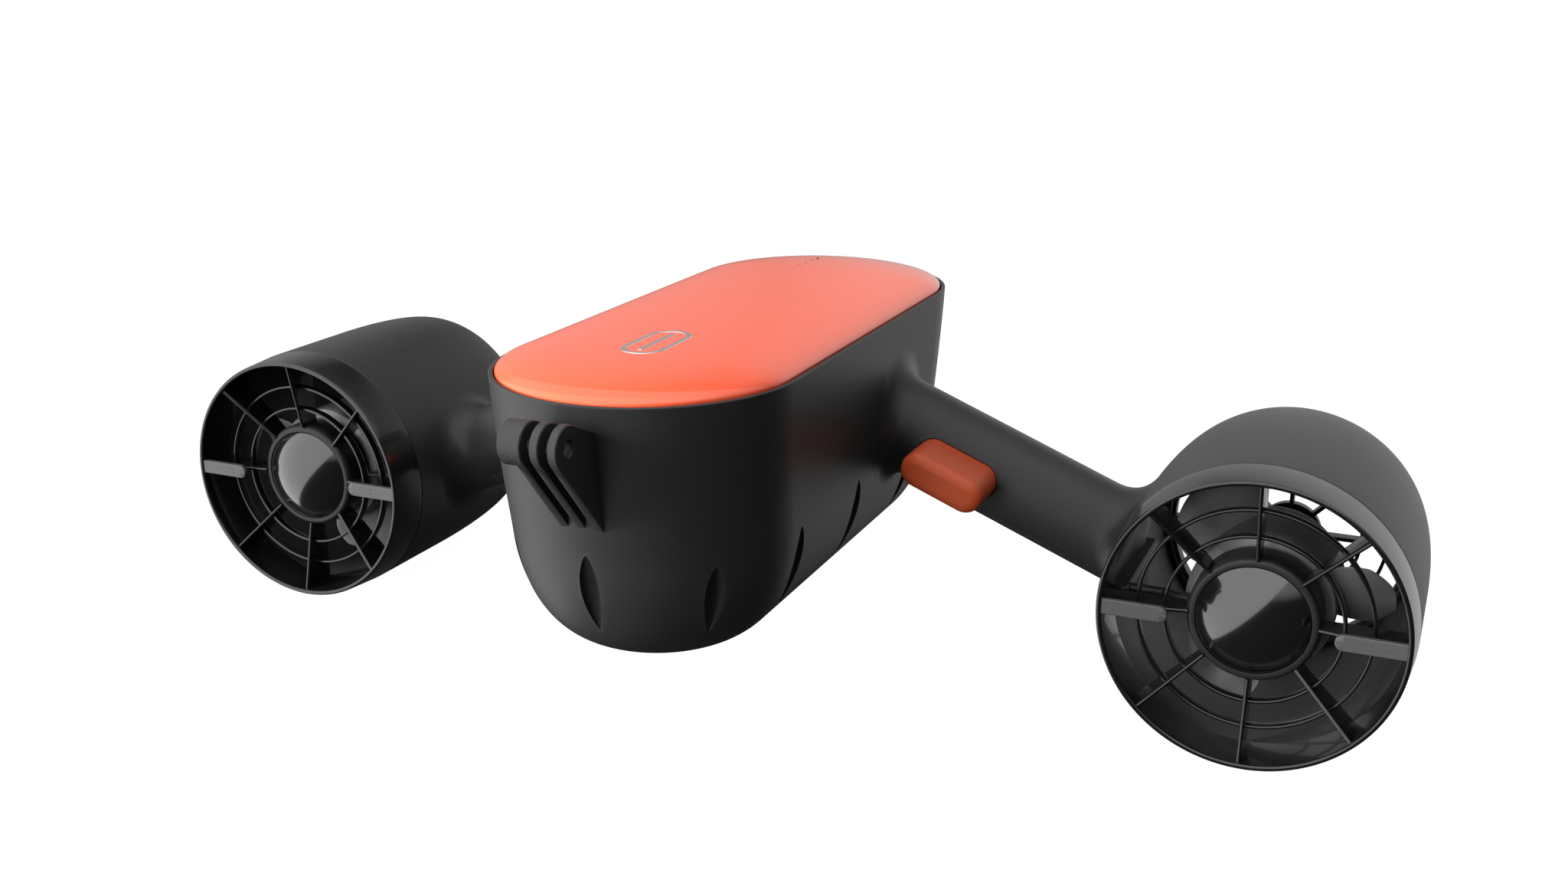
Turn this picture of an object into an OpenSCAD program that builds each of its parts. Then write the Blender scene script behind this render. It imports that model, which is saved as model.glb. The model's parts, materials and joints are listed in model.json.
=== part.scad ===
// Twin-thruster underwater scooter: a boat-shaped hull with a domed cover, two drooping handle arms
// with a trigger each, and a ducted propeller at the end of each arm.
// The nose points along -Y, +X is across and +Z is up. The origin is under the middle of the scooter,
// on the plane that the two ducts rest on.
// Each assembly is drawn in a station frame whose origin is midway between the centres of the ducts'
// front rims; place() moves it to the final frame.

/* [Ducts] */
// Distance of each duct's axis from the middle plane
duct_x = 191.7; // [180:0.1:200]
// Largest outside radius of a duct
duct_r = 51.15; // [51:0.05:52]
// Radius of the front rim of a guard
rim_r = 50; // [49:0.1:50.5]
// Length of a duct with its guards
duct_len = 104.3; // [100:0.1:110]
// Length of the front guard ring, up to its seam
guard_len = 16.4; // [15:0.1:18]
// Inside radius of the duct in front of its taper
bore_r = 47.5; // [46.5:0.1:48]
// Length of the tapered tail of a duct
tail_len = 45; // [40:1:50]
// Radius lost over the tail
tail_drop = 5; // [4:0.1:6]

/* [Guards] */
// Number of spokes in a guard
spokes = 8; // [8:1:8]
// Thickness of a spoke
spoke_w = 1.4; // [1.2:0.1:2]
// Radius of the outer thin ring
ring_r_out = 37.9; // [36:0.1:39]
// Radius of the inner thin ring
ring_r_in = 28.8; // [28:0.1:31]
// Outside radius of the front hub
hub_r = 21.6; // [21:0.1:23]
// Station of the front hub's face
hub_y = 7; // [6:0.5:8]
// Height of a flat paddle
paddle_h = 4.7; // [4:0.1:6]

/* [Thruster] */
// Shaft radius
shaft_r = 2.5; // [2.5:0.1:2.5]
// Outside radius of a bearing
bearing_r = 5; // [4.8:0.1:5.2]
// Outside radius of the stator
stator_r = 15.2; // [14.8:0.1:15.3]
// Outside radius of the rotor bell
bell_r = 19.5; // [19:0.1:19.6]
// Outside radius of the propeller's hub
prop_hub_r = 24.5; // [24:0.1:25]
// Radius of the blade tips
blade_r = 43; // [41:0.5:43.5]
// Number of blades
blades = 3; // [3:1:3]
// Pitch angle of a blade
blade_pitch = 38; // [35:1:42]

/* [Hull] */
// Outside radius of the rim at bow and stern
hull_r = 52.25; // [52:0.05:53]
// Height of the rim above the duct axes
rim_z = 79.65; // [79:0.05:82]
// Station of the bow arc's centre
bow_y = -45.8; // [-47:0.1:-45]
// Station of the stern arc's centre
stern_y = 96.8; // [96:0.1:98]
// Depth of the keel below the duct axes
keel_z = 15.8; // [14:0.1:18]
// Wall thickness
wall = 3.2; // [3:0.1:3.5]

/* [Cover] */
// Outside radius of the cover at bow and stern
cover_r = 50.6; // [50.4:0.05:50.7]
// Height of the cover's crown above the rim
crown = 6.6; // [6:0.1:7]
// Thickness of the cover
cover_t = 2.2; // [2:0.1:2.4]
// Station of the emblem's centre
emblem_y = -40; // [-45:1:-35]
// Distance of the indicator row from the middle plane
led_x = -9; // [-10:0.5:-6]

/* [Arms] */
// Droop of an arm below the horizontal
droop = 22; // [21:0.5:23]
// Outside radius of the handle tube
arm_r = 16.95; // [16.5:0.05:17.2]
// Inside radius of the handle tube
arm_bore_r = 13.5; // [13.2:0.1:13.6]
// Distance from the hull to the trigger, along the arm
trigger_s = 31.5; // [30:0.5:33]
// Length of the trigger's pill
trigger_len = 32; // [30:0.5:33]
// Radius of the trigger's pill ends
trigger_r = 6.5; // [6:0.1:6.8]
// Station of the trigger's front face
trigger_y = 20; // [19:0.5:22]
// Travel of the trigger
trigger_travel = 4.5; // [4:0.1:4.5]

/* [Camera mount] */
// Station of the pivot bore
pivot_y = -111; // [-112:0.1:-110]
// Height of the pivot bore above the duct axes
pivot_z = 70.4; // [70:0.1:71]
// Radius of the pivot bore
pivot_r = 2.6; // [2.5:0.05:2.7]
// Radius of the finger tips
finger_r = 7.2; // [7:0.1:7.5]
// Thickness of a finger
finger_t = 3.1; // [3:0.05:3.2]
// Distance between fingers, centre to centre
finger_pitch = 6.2; // [6.1:0.05:6.3]

/* [Battery] */
// Height of the battery axis above the duct axes
bat_z = 29; // [28:0.5:29.5]
// Radius of the battery pack
bat_r = 24; // [23:0.5:24]
// Inside radius of the battery collar
collar_r = 26; // [26:0.1:26.2]
// Station of the rear face of the battery cap
cap_y = 152.2; // [152.2:0.1:153]

/* [Hidden] */
$fn = 64;
eps = 0.01;
LEFT = -1;
RIGHT = 1;

shell_black = [0.09, 0.09, 0.095];
gloss_black = [0.03, 0.03, 0.035];
cover_orange = [1, 0.38, 0.24];
trigger_orange = [0.78, 0.28, 0.12];
metal = [0.78, 0.79, 0.8];
brass = [0.8, 0.65, 0.3];
seal_grey = [0.2, 0.2, 0.22];
board_green = [0.05, 0.3, 0.15];

// Middle of the overall length, in stations
mid_y = (pivot_y - finger_r + cap_y) / 2;

// Hull shape: the walls lean inwards down to the shoulder, then curve in to the keel
shoulder_r = 49.85;
shoulder_z = 25.15;
shoulder_bow = -40.45;
shoulder_stern = 89.1;
side_power = 3.9;
keel_power = 1.57;
layer_t = 0.2;

// Leaf-shaped flutes around the lower hull
flute_len = 34;
flute_w = 8;
flute_z = 14;
flute_out = 50.2;
flute_lean = 14;
flute_turn = 48.5;

// Heights of the seats inside the rim
cover_seat_z = rim_z - 3.45;
plate_seat_z = 68;
flange_z = 62;
plate_t = 3;
plate_r = 47.8;
opening_r = 41;
gasket_t = 0.8;
gasket_r = opening_r + 2.2;
plate_screw_r = 45;

// Stations inside a thruster
plate_y = 16;
base_y = 20;
sleeve_r = 6.5;
sleeve_end = 44;
flange_t = 2.5;
screw_r = 1.5;
base_screw_r = 13;
bell_end = 49;
prop_y = 22.5;
prop_plate_y = bell_end;
spinner_y = 66;
nut_y = 54;
fit = 0.03;

// Arm frame: its origin is where the arm's axis meets the hull wall
arm_x = 50;
arm_y = 56.8;
arm_z = 39.85;
cover_s0 = 46;
cover_s1 = 87;
cover_cut = 10.5;
arm_screw_s = [53, 81.5];
flange_y = 46.6;
shelf_y = flange_y + flange_t + trigger_travel + 7.4;
spring_r = 3.6;
spring_wire = 0.5;
spring_turns = 6;
magnet_s = 12;

// Battery cap
collar_out_r = 30.5;
collar_y0 = 120;
collar_y1 = 148;
cap_gap = 0.2;
plug_r = collar_r - 0.4;
plug_y = 130;
lug_y = 140;
lug_t = 3;
lug_r = collar_r + 2;
lug_count = 3;
lug_turn = 60;

// ---------- helpers ----------

module place() {
    translate([0, -mid_y, duct_r]) children();
}

// Turns a shape drawn along +Z so that it runs along +Y from the given station
module along_y(y) {
    translate([0, y, 0]) rotate([-90, 0, 0]) children();
}

module side(s) {
    place() mirror([s < 0 ? 1 : 0, 0, 0]) children();
}

module at_duct(s) {
    side(s) translate([duct_x, 0, 0]) children();
}

// In the arm frame X runs out along the arm, Y stays Y and Z is square to both
module at_arm(s) {
    side(s) translate([arm_x, arm_y, arm_z]) rotate([0, droop, 0]) children();
}

module tube(r_out, r_in, h) {
    difference() {
        cylinder(r = r_out, h = h);
        translate([0, 0, -eps]) cylinder(r = r_in, h = h + 2 * eps);
    }
}

// Stadium with end arcs of radius r centred on the bow and stern stations
module stadium(r) {
    translate([0, bow_y]) circle(r);
    translate([0, stern_y]) circle(r);
    translate([-r, bow_y]) square([2 * r, stern_y - bow_y]);
}

module stadium_plate(r, z0, z1) {
    translate([0, 0, z0]) linear_extrude(z1 - z0) stadium(r);
}

// Pill centred on the origin, long along X
module pill(r, length) {
    half = length / 2 - r;
    translate([half, 0]) circle(r);
    translate([-half, 0]) circle(r);
    translate([-half, -r]) square([2 * half, 2 * r]);
}

// A pill prism standing on the XZ plane of the arm frame, from y0 to y1
module pill_y(r, length, y0, y1) {
    translate([0, y1, 0]) rotate([90, 0, 0]) linear_extrude(y1 - y0) pill(r, length);
}

// ---------- hull ----------

module hull_layer(r, z, y0, y1) {
    translate([0, y0, z]) cylinder(r = r, h = layer_t, $fn = 48);
    translate([0, y1, z]) cylinder(r = r, h = layer_t, $fn = 48);
}

// Solid hull shape, drawn in by inset
module hull_solid(inset) {
    hull() {
        hull_layer(hull_r - inset, rim_z - layer_t, bow_y, stern_y);
        for (a = [0:15:90]) {
            r = max((shoulder_r - inset) * pow(cos(a), 2 / side_power), 1);
            drop = (shoulder_z + keel_z - inset) * pow(sin(a), 2 / keel_power);
            hull_layer(r, shoulder_z - drop, shoulder_bow, shoulder_stern);
        }
    }
}

// Leaf-shaped flutes: slender spindles sunk into the bow and the sides
module flute(length, width) {
    arc_r = (length * length / 4 + width * width / 4) / width;
    translate([0, 0, -length / 2]) rotate_extrude() intersection() {
        translate([width / 2 - arc_r, length / 2]) circle(arc_r, $fn = 128);
        square([width, length]);
    }
}

module leaning_flute() {
    translate([0, -flute_out, flute_z]) rotate([flute_lean, 0, 0]) flute(flute_len, flute_w);
}

module flutes() {
    for (a = [-1, 0, 1] * flute_turn) translate([0, shoulder_bow, 0]) rotate([0, 0, a]) leaning_flute();
    for (a = [-1, 1] * flute_turn) translate([0, shoulder_stern, 0]) rotate([0, 0, 180 + a])
        leaning_flute();
    for (m = [-1, 1], y = [-34.5, 18, 72]) translate([0, y, 0]) rotate([0, 0, m * 90]) leaning_flute();
}

module arm_spigot_hole(s) {
    mirror([s < 0 ? 1 : 0, 0, 0]) translate([arm_x, arm_y, arm_z]) rotate([0, 90 + droop, 0])
        translate([0, 0, -20]) cylinder(r = arm_bore_r, h = 26);
}

function plate_screw_places() = concat(
    [for (m = [-1, 1], t = [0.05, 0.35, 0.65, 0.95])
        [m * plate_screw_r, bow_y + t * (stern_y - bow_y)]],
    [for (m = [-1, 1]) [m * plate_screw_r * sin(40), bow_y - plate_screw_r * cos(40)]],
    [for (m = [-1, 1]) [m * plate_screw_r * sin(40), stern_y + plate_screw_r * cos(40)]]);

module at_plate_screws(z) {
    for (p = plate_screw_places()) translate([p[0], p[1], z]) children();
}

mount_w = 3 * finger_pitch;
mount_low_z = 37;
mount_high_z = 73;

module mount_window() {
    translate([-mount_w / 2, bow_y - hull_r - 5, mount_low_z])
        cube([mount_w, 18, mount_high_z - mount_low_z]);
}

// Everything hollow inside the hull: the hold, the flange's opening, and the seats above it
module hull_cavities() {
    intersection() {
        hull_solid(wall);
        translate([-100, -150, -100]) cube([200, 350, flange_z + 100]);
    }
    stadium_plate(opening_r, flange_z - eps, rim_z);
    stadium_plate(gasket_r, plate_seat_z - gasket_t, plate_seat_z + eps);
    stadium_plate(plate_r + 0.2, plate_seat_z, rim_z);
    stadium_plate(cover_r + 0.15, cover_seat_z, rim_z + eps);
}

module hull_tub() color(shell_black) place() difference() {
    hull_solid(0);
    hull_cavities();
    at_plate_screws(flange_z + 1) cylinder(r = screw_r + 0.05, h = 10);
    arm_spigot_hole(LEFT);
    arm_spigot_hole(RIGHT);
    mount_window();
    translate([0, 0, bat_z]) along_y(collar_y0 - 10) cylinder(r = collar_out_r, h = 60);
    flutes();
}

// ---------- camera mount ----------

boss_len = 5;

// Side outline of one finger, in Y and Z
module finger_outline() {
    hull() {
        translate([pivot_y, pivot_z]) circle(finger_r, $fn = 32);
        translate([bow_y - hull_r + 4, mount_high_z - 3]) circle(1, $fn = 16);
        translate([bow_y - hull_r + 7, mount_low_z + 2]) circle(1, $fn = 16);
    }
}

module camera_mount() color(shell_black) place() difference() {
    union() {
        for (k = [-1:1]) translate([k * finger_pitch - finger_t / 2, 0, 0]) rotate([90, 0, 90])
            linear_extrude(finger_t) finger_outline();
        translate([-finger_pitch - finger_t / 2 - boss_len, pivot_y, pivot_z]) rotate([0, 90, 0])
            cylinder(r = finger_r - 0.2, h = boss_len + eps);
        intersection() {
            mount_window();
            hull_solid(0);
        }
    }
    translate([-30, pivot_y, pivot_z]) rotate([0, 90, 0]) cylinder(r = pivot_r, h = 60);
    translate([-finger_pitch - finger_t / 2 - boss_len - eps, pivot_y, pivot_z]) rotate([0, 90, 0])
        cylinder(r = nut_pocket_r, h = nut_t + eps, $fn = 6);
    hull_cavities();
}

nut_pocket_r = 4.7;
nut_t = 4;

module hex_nut(r, bore, t) {
    difference() {
        cylinder(r = r, h = t, $fn = 6);
        translate([0, 0, -eps]) cylinder(r = bore, h = t + 2 * eps);
    }
}

module mount_nut() color(brass) place()
    translate([-finger_pitch - finger_t / 2 - boss_len, pivot_y, pivot_z]) rotate([0, 90, 0])
        hex_nut(nut_pocket_r - 0.05, 2.2, nut_t);

// ---------- cover and what is under it ----------

module cover_gasket() color(seal_grey) place() difference() {
    stadium_plate(gasket_r - 0.1, plate_seat_z - gasket_t, plate_seat_z);
    stadium_plate(opening_r + 0.3, plate_seat_z - gasket_t - eps, plate_seat_z + eps);
}

standoff_r = 2.5;
board_z = 57;
board_t = 1.6;
board_w = 60;
board_y0 = -28;
board_y1 = 52;
post_r = 2.5;

module at_board_corners(z) {
    for (x = [-1, 1] * (board_w / 2 - 4), y = [board_y0 + 4, board_y1 - 4])
        translate([x, y, z]) children();
}

module sealing_plate() color(shell_black) place() {
    difference() {
        stadium_plate(plate_r, plate_seat_z, plate_seat_z + plate_t);
        at_plate_screws(plate_seat_z - eps) cylinder(r = screw_r + 0.1, h = plate_t + 2 * eps);
    }
    at_board_corners(board_z + board_t)
        cylinder(r = standoff_r, h = plate_seat_z - board_z - board_t + eps);
}

module plate_screws() color(metal) place() at_plate_screws(flange_z + 1) {
    cylinder(r = screw_r, h = plate_seat_z + plate_t - flange_z - 1 + eps);
    translate([0, 0, plate_seat_z + plate_t - flange_z - 1]) difference() {
        cylinder(r = 2.6, h = 1.9);
        translate([0, 0, 0.8]) cylinder(r = 1.2, h = 2, $fn = 6);
    }
}

// Crown section: a soft-cornered arch of height h over radius r
function crown_section(r, z, h) =
    [for (a = [0:7.5:90]) [r * pow(cos(a), 0.8), z + h * pow(sin(a), 0.86)]];

module crown_solid(r, z0, z1, h) {
    section = concat([[0, z0], [r, z0]], crown_section(r, z1, h));
    for (end = [[bow_y, 180], [stern_y, 0]])
        translate([0, end[0], 0]) rotate([0, 0, end[1]]) rotate_extrude(angle = 180) polygon(section);
    translate([0, stern_y, 0]) rotate([90, 0, 0]) linear_extrude(stern_y - bow_y) {
        polygon(section);
        mirror([1, 0]) polygon(section);
    }
}

emblem_r = 7.6;
emblem_half = 9;
emblem_t = 0.6;
crown_z = rim_z + crown;
led_step = 6.3;
led_gap = 13;
led_y = 88.4;
led_r = 0.9;
led_places = concat([led_y], [for (k = [0:3]) led_y + led_gap + k * led_step]);

module long_ring(r) {
    for (y = [-1, 1] * emblem_half) translate([0, y]) circle(r);
    translate([-r, -emblem_half]) square([2 * r, 2 * emblem_half]);
}

module emblem_shape() {
    difference() {
        long_ring(emblem_r);
        long_ring(emblem_r - 1.7);
    }
    translate([-0.8, -emblem_half - 3]) square([1.6, 2 * emblem_half + 6]);
}

module top_cover() color(cover_orange) place() {
    difference() {
        crown_solid(cover_r, cover_seat_z, rim_z, crown);
        crown_solid(cover_r - cover_t, cover_seat_z - eps, rim_z - cover_t + 0.8, crown - 0.8);
        translate([0, emblem_y, crown_z - emblem_t + 0.05]) linear_extrude(2) emblem_shape();
        for (y = led_places) translate([led_x, y, rim_z]) cylinder(r = led_r, h = 20);
    }
    for (x = [-1, 1] * 22, y = [-30, 80]) translate([x, y, plate_seat_z + plate_t])
        cylinder(r = post_r, h = crown_z - cover_t - plate_seat_z - plate_t + 0.5);
}

module emblem() color(metal) place()
    translate([0, emblem_y, crown_z - emblem_t + 0.05]) linear_extrude(emblem_t) emblem_shape();

module indicator_lights() color("white") place()
    for (y = led_places) translate([led_x, y, crown_z - 4.5]) cylinder(r = led_r, h = 4.35);

module control_board() color(board_green) place() {
    translate([-board_w / 2, board_y0, board_z]) cube([board_w, board_y1 - board_y0, board_t]);
    translate([-10, -8, board_z + board_t - eps]) cube([20, 20, 2.5]);
    for (x = [-22, 14]) translate([x, 30, board_z + board_t - eps]) cube([8, 12, 4]);
    for (x = [-18, 18]) translate([x, -16, board_z + board_t - eps]) cylinder(r = 4, h = 6);
}

// ---------- battery ----------

bat_y0 = -74;
bat_y1 = 122;
cradle_t = 1.5;

module battery_cradle() color(seal_grey) place() difference() {
    union() {
        translate([0, 0, bat_z]) along_y(bat_y0) cylinder(r = bat_r + cradle_t + 0.3, h = 180);
        intersection() {
            for (y = [-50, 20, 90]) translate([-16, y, -keel_z]) cube([32, 4, keel_z + bat_z]);
            hull_solid(wall);
        }
    }
    translate([0, 0, bat_z]) along_y(bat_y0 - 20) cylinder(r = bat_r + 0.3, h = 300);
    translate([-50, -100, bat_z]) cube([100, 300, 60]);
}

module battery_pack() color("dimgray") place() translate([0, 0, bat_z]) {
    along_y(bat_y0) cylinder(r = bat_r, h = bat_y1 - bat_y0);
    along_y(bat_y1 - eps) cylinder(r = 9, h = 5);
}

module battery_contacts() color(brass) place() translate([0, 0, bat_z]) {
    for (x = [-12, 12]) translate([x, 0, 0]) along_y(bat_y0 - 2.5) cylinder(r = 3, h = 2.5);
    translate([-18, bat_y0 - 5, -6]) cube([36, 2.5, 12]);
}

module battery_collar() color(shell_black) place() translate([0, 0, bat_z]) difference() {
    along_y(collar_y0) cylinder(r = collar_out_r, h = collar_y1 - collar_y0);
    along_y(collar_y0 - eps) cylinder(r = collar_r, h = 60);
    along_y(lug_y - 0.4) cylinder(r = lug_r + 0.3, h = lug_t + 0.8);
    for (k = [1:lug_count]) rotate([0, k * 360 / lug_count + lug_turn, 0])
        translate([-lug_w / 2 - 1, lug_y, 0]) cube([lug_w + 2, 20, lug_r + 0.3]);
}

lug_w = 12;
grip_r = 21;
grip_w = 9;
seal_y = 135;
seal_t = 1.2;

module battery_cap() color(shell_black) place() translate([0, 0, bat_z]) difference() {
    union() {
        along_y(plug_y) cylinder(r = plug_r, h = collar_y1 - plug_y + 1);
        along_y(collar_y1 + cap_gap) cylinder(r = collar_out_r, h = cap_y - collar_y1 - cap_gap);
        for (k = [1:lug_count]) rotate([0, k * 360 / lug_count, 0]) intersection() {
            along_y(lug_y) cylinder(r = lug_r, h = lug_t);
            translate([-lug_w / 2, lug_y - 1, 0]) cube([lug_w, lug_t + 2, lug_r + 5]);
        }
    }
    along_y(seal_y - seal_t) difference() {
        cylinder(r = plug_r + 1, h = 2 * seal_t);
        translate([0, 0, -1]) cylinder(r = collar_r - 2 * seal_t - fit, h = 10);
    }
    difference() {
        along_y(cap_y - 16) cylinder(r = grip_r, h = 17);
        translate([-grip_w / 2, 0, -50]) cube([grip_w, 200, 100]);
    }
}

module cap_seal() color(seal_grey) place() translate([0, 0, bat_z]) along_y(seal_y)
    rotate_extrude() translate([collar_r - seal_t - fit, 0]) circle(seal_t);

// ---------- arms ----------

cable_r = 1.5;
cable_lane = 6.5;
spigot_r = arm_bore_r - 2.4;
spigot_s = 5;
rib_bite = 0.5;
root_r = 23;
root_s = 15;
tip_r = 24;
tip_s = 87.5;
disc_t = 1;
loft_bite = 0.6;

// Right handle with a root that spreads on the hull's side and a tip that spreads on the duct
module arm_solid() {
    at_arm(RIGHT) rotate([0, 90, 0]) cylinder(r = arm_r, h = tip_s + 14);
    hull() {
        at_arm(RIGHT) translate([root_s - disc_t, 0, 0]) rotate([0, 90, 0])
            cylinder(r = arm_r - loft_bite, h = disc_t, $fn = 32);
        side(RIGHT) translate([arm_x - 6, arm_y, arm_z]) rotate([0, 90, 0])
            cylinder(r = root_r, h = disc_t, $fn = 32);
    }
    hull() {
        at_arm(RIGHT) translate([tip_s, 0, 0]) rotate([0, 90, 0])
            cylinder(r = arm_r - loft_bite, h = disc_t, $fn = 32);
        side(RIGHT) translate([duct_x - duct_r + 6, arm_y, 1]) rotate([0, 90, 0])
            cylinder(r = tip_r, h = disc_t, $fn = 32);
    }
}

module duct_envelope() {
    along_y(0) rotate_extrude() polygon(concat(
        [[0, 0], [rim_r, 0], [duct_r, guard_len]],
        [for (a = [0:10:90])
            [duct_r - tail_drop * (1 - cos(a)), duct_len - tail_len + tail_len * sin(a)]],
        [[0, duct_len]]));
}

module arm_bore() {
    translate([spigot_s, 0, 0]) rotate([0, 90, 0]) cylinder(r = arm_bore_r, h = 120);
}

// Block that cuts the underside cover out of the handle
module arm_cover_zone(gap) {
    translate([cover_s0 - gap, -arm_r - 1, -arm_r - 1])
        cube([cover_s1 - cover_s0 + 2 * gap, 2 * arm_r + 2, arm_r + 1 - cover_cut + gap]);
}

// Cross wall inside the handle that the spring and the sensor board bear on
module shelf() {
    intersection() {
        translate([trigger_s - 19, shelf_y - arm_y, -4.5]) cube([38, 2, 30]);
        rotate([0, 90, 0]) cylinder(r = arm_bore_r + rib_bite, h = 60);
    }
}

// Ribs with a screw boss each, over the underside cover
module arm_bosses() {
    for (x = arm_screw_s) translate([x, 0, -cover_cut]) difference() {
        union() {
            cylinder(r = 3.5, h = 4);
            intersection() {
                translate([-1.5, -arm_bore_r - 1, 0]) cube([3, 2 * arm_bore_r + 2, 2]);
                translate([-10, 0, cover_cut]) rotate([0, 90, 0])
                    cylinder(r = arm_bore_r + rib_bite, h = 20);
            }
        }
        translate([0, 0, -eps]) cylinder(r = screw_r + 0.05, h = 5);
    }
}

module arm(s) color(shell_black) mirror([s < 0 ? 1 : 0, 0, 0]) {
    difference() {
        union() {
            difference() {
                arm_solid();
                place() hull_solid(0);
                at_duct(RIGHT) duct_envelope();
            }
            at_arm(RIGHT) translate([-10, 0, 0]) rotate([0, 90, 0])
                cylinder(r = arm_bore_r, h = 11 + spigot_s);
        }
        at_arm(RIGHT) {
            arm_bore();
            translate([-12, 0, 0]) rotate([0, 90, 0]) cylinder(r = spigot_r, h = 20);
            arm_cover_zone(0.2);
            translate([trigger_s, 0, 0]) pill_y(trigger_r + 0.4, trigger_len + 0.8, -40, 0);
        }
    }
    at_arm(RIGHT) {
        shelf();
        arm_bosses();
    }
}

module arm_cover(s) color(shell_black) at_arm(s) difference() {
    intersection() {
        rotate([0, 90, 0]) cylinder(r = arm_r, h = 120);
        arm_cover_zone(0);
    }
    arm_bore();
    for (x = arm_screw_s) translate([x, 0, -30]) {
        cylinder(r = screw_r + 0.1, h = 30);
        cylinder(r = 3, h = 30 - arm_r + 2);
    }
}

module arm_screws(s) color(metal) at_arm(s) for (x = arm_screw_s) translate([x, 0, -arm_r + 0.4]) {
    cylinder(r = screw_r, h = arm_r - cover_cut + 3);
    difference() {
        cylinder(r = 2.7, h = 1.6);
        translate([0, 0, -eps]) cylinder(r = 1.2, h = 1, $fn = 6);
    }
}

// ---------- triggers ----------

round_r = 4;

// Front of the trigger: a pill slab whose front edge is rolled over all round
module rolled_pill(r, length, y0) {
    core = r - round_r;
    half = length / 2 - r;
    pill_y(r, length, y0 + round_r, y0 + round_r + 1);
    pill_y(core, length - 2 * round_r, y0, y0 + round_r + 1);
    for (m = [-1, 1]) {
        translate([-half, y0 + round_r, m * core]) rotate([0, 90, 0]) cylinder(r = round_r, h = 2 * half);
        translate([m * half, y0 + round_r, 0]) rotate([90, 0, 0])
            rotate_extrude() translate([core, 0]) intersection() {
                circle(round_r);
                translate([0, -round_r]) square([round_r, 2 * round_r]);
            }
    }
}

module trigger(s) color(trigger_orange) at_arm(s) translate([trigger_s, 0, 0]) difference() {
    union() {
        rolled_pill(trigger_r, trigger_len, trigger_y - arm_y);
        pill_y(trigger_r, trigger_len, trigger_y + round_r - arm_y, flange_y - arm_y + eps);
        pill_y(trigger_r + 1.3, trigger_len + 4, flange_y - arm_y, flange_y + flange_t - arm_y);
    }
    translate([magnet_s, flange_y + 0.5 - arm_y, 0]) rotate([-90, 0, 0]) cylinder(r = 2, h = 10);
}

module trigger_magnet(s) color(metal) at_arm(s)
    translate([trigger_s + magnet_s, flange_y + 0.5 - arm_y, 0]) rotate([-90, 0, 0])
        cylinder(r = 2, h = 2.5);

// Coil of round wire along +Z, swept as rings of points
module coil(r, wire, height, turns) {
    steps = 14 * turns;
    sides = 7;
    points = [for (i = [0:steps], k = [0:sides - 1])
        let (a = 360 * turns * i / steps, b = 360 * k / sides, d = r + wire * cos(b))
            [d * cos(a), d * sin(a), height * i / steps + wire * sin(b)]];
    walls = [for (i = [0:steps - 1], k = [0:sides - 1])
        let (n = (k + 1) % sides)
            [i * sides + k, (i + 1) * sides + k, (i + 1) * sides + n, i * sides + n]];
    ends = [[for (k = [0:sides - 1]) k], [for (k = [sides - 1:-1:0]) steps * sides + k]];
    polyhedron(points, concat(walls, ends));
}

module trigger_spring(s) color(metal) at_arm(s)
    translate([trigger_s, flange_y + flange_t + spring_wire - arm_y, 0]) rotate([-90, 0, 0])
        coil(spring_r, spring_wire, shelf_y - flange_y - flange_t - 2 * spring_wire, spring_turns);

module sensor_board(s) color(board_green) at_arm(s) {
    translate([trigger_s + 8, shelf_y - 1.2 - arm_y, -4]) cube([10, 1.2, 8]);
    translate([trigger_s + magnet_s - 1.5, shelf_y - 2 - arm_y, -1.5]) cube([3, 0.8 + eps, 3]);
}

// ---------- motor cable ----------

// Straight run of cable between two points, with a rounded end
module cable_run(a, b) {
    d = b - a;
    translate(a) rotate([0, acos(d[2] / norm(d)), atan2(d[1], d[0])])
        cylinder(r = cable_r, h = norm(d));
    translate(b) sphere(cable_r + 0.05);
}

// Point of the arm frame in station coordinates
function arm_point(p) = [
    arm_x + p[0] * cos(droop) + p[2] * sin(droop),
    arm_y + p[1],
    arm_z - p[0] * sin(droop) + p[2] * cos(droop)
];

conduit_x = duct_x - bore_r;
gland_x = duct_x - hub_r - cable_r - 0.1;
strut_y = 18;

cable_points = [
    [36, arm_y - 18, 40],
    arm_point([-8, cable_lane, -cable_lane]),
    arm_point([94, cable_lane, -cable_lane]),
    [conduit_x, arm_y + cable_lane, 0],
    [conduit_x, strut_y + 3.4, 0],
    [conduit_x + 16, strut_y + 3.4, 0],
    [gland_x, strut_y + 0.2, 0]
];

module motor_cable(s) color(seal_grey) side(s) {
    for (k = [1:len(cable_points) - 1]) cable_run(cable_points[k - 1], cable_points[k]);
}

// ---------- duct and guards ----------

conduit_r = 3;

// Tail curve of the duct's outside, drawn in by t
function tail(t) = [for (a = [0:10:90])
    [duct_r - t - tail_drop * (1 - cos(a)), duct_len - tail_len + tail_len * sin(a)]];

duct_wall = duct_r - bore_r;
rear_seat_y = 98;
rear_guard_r = 44;

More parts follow.
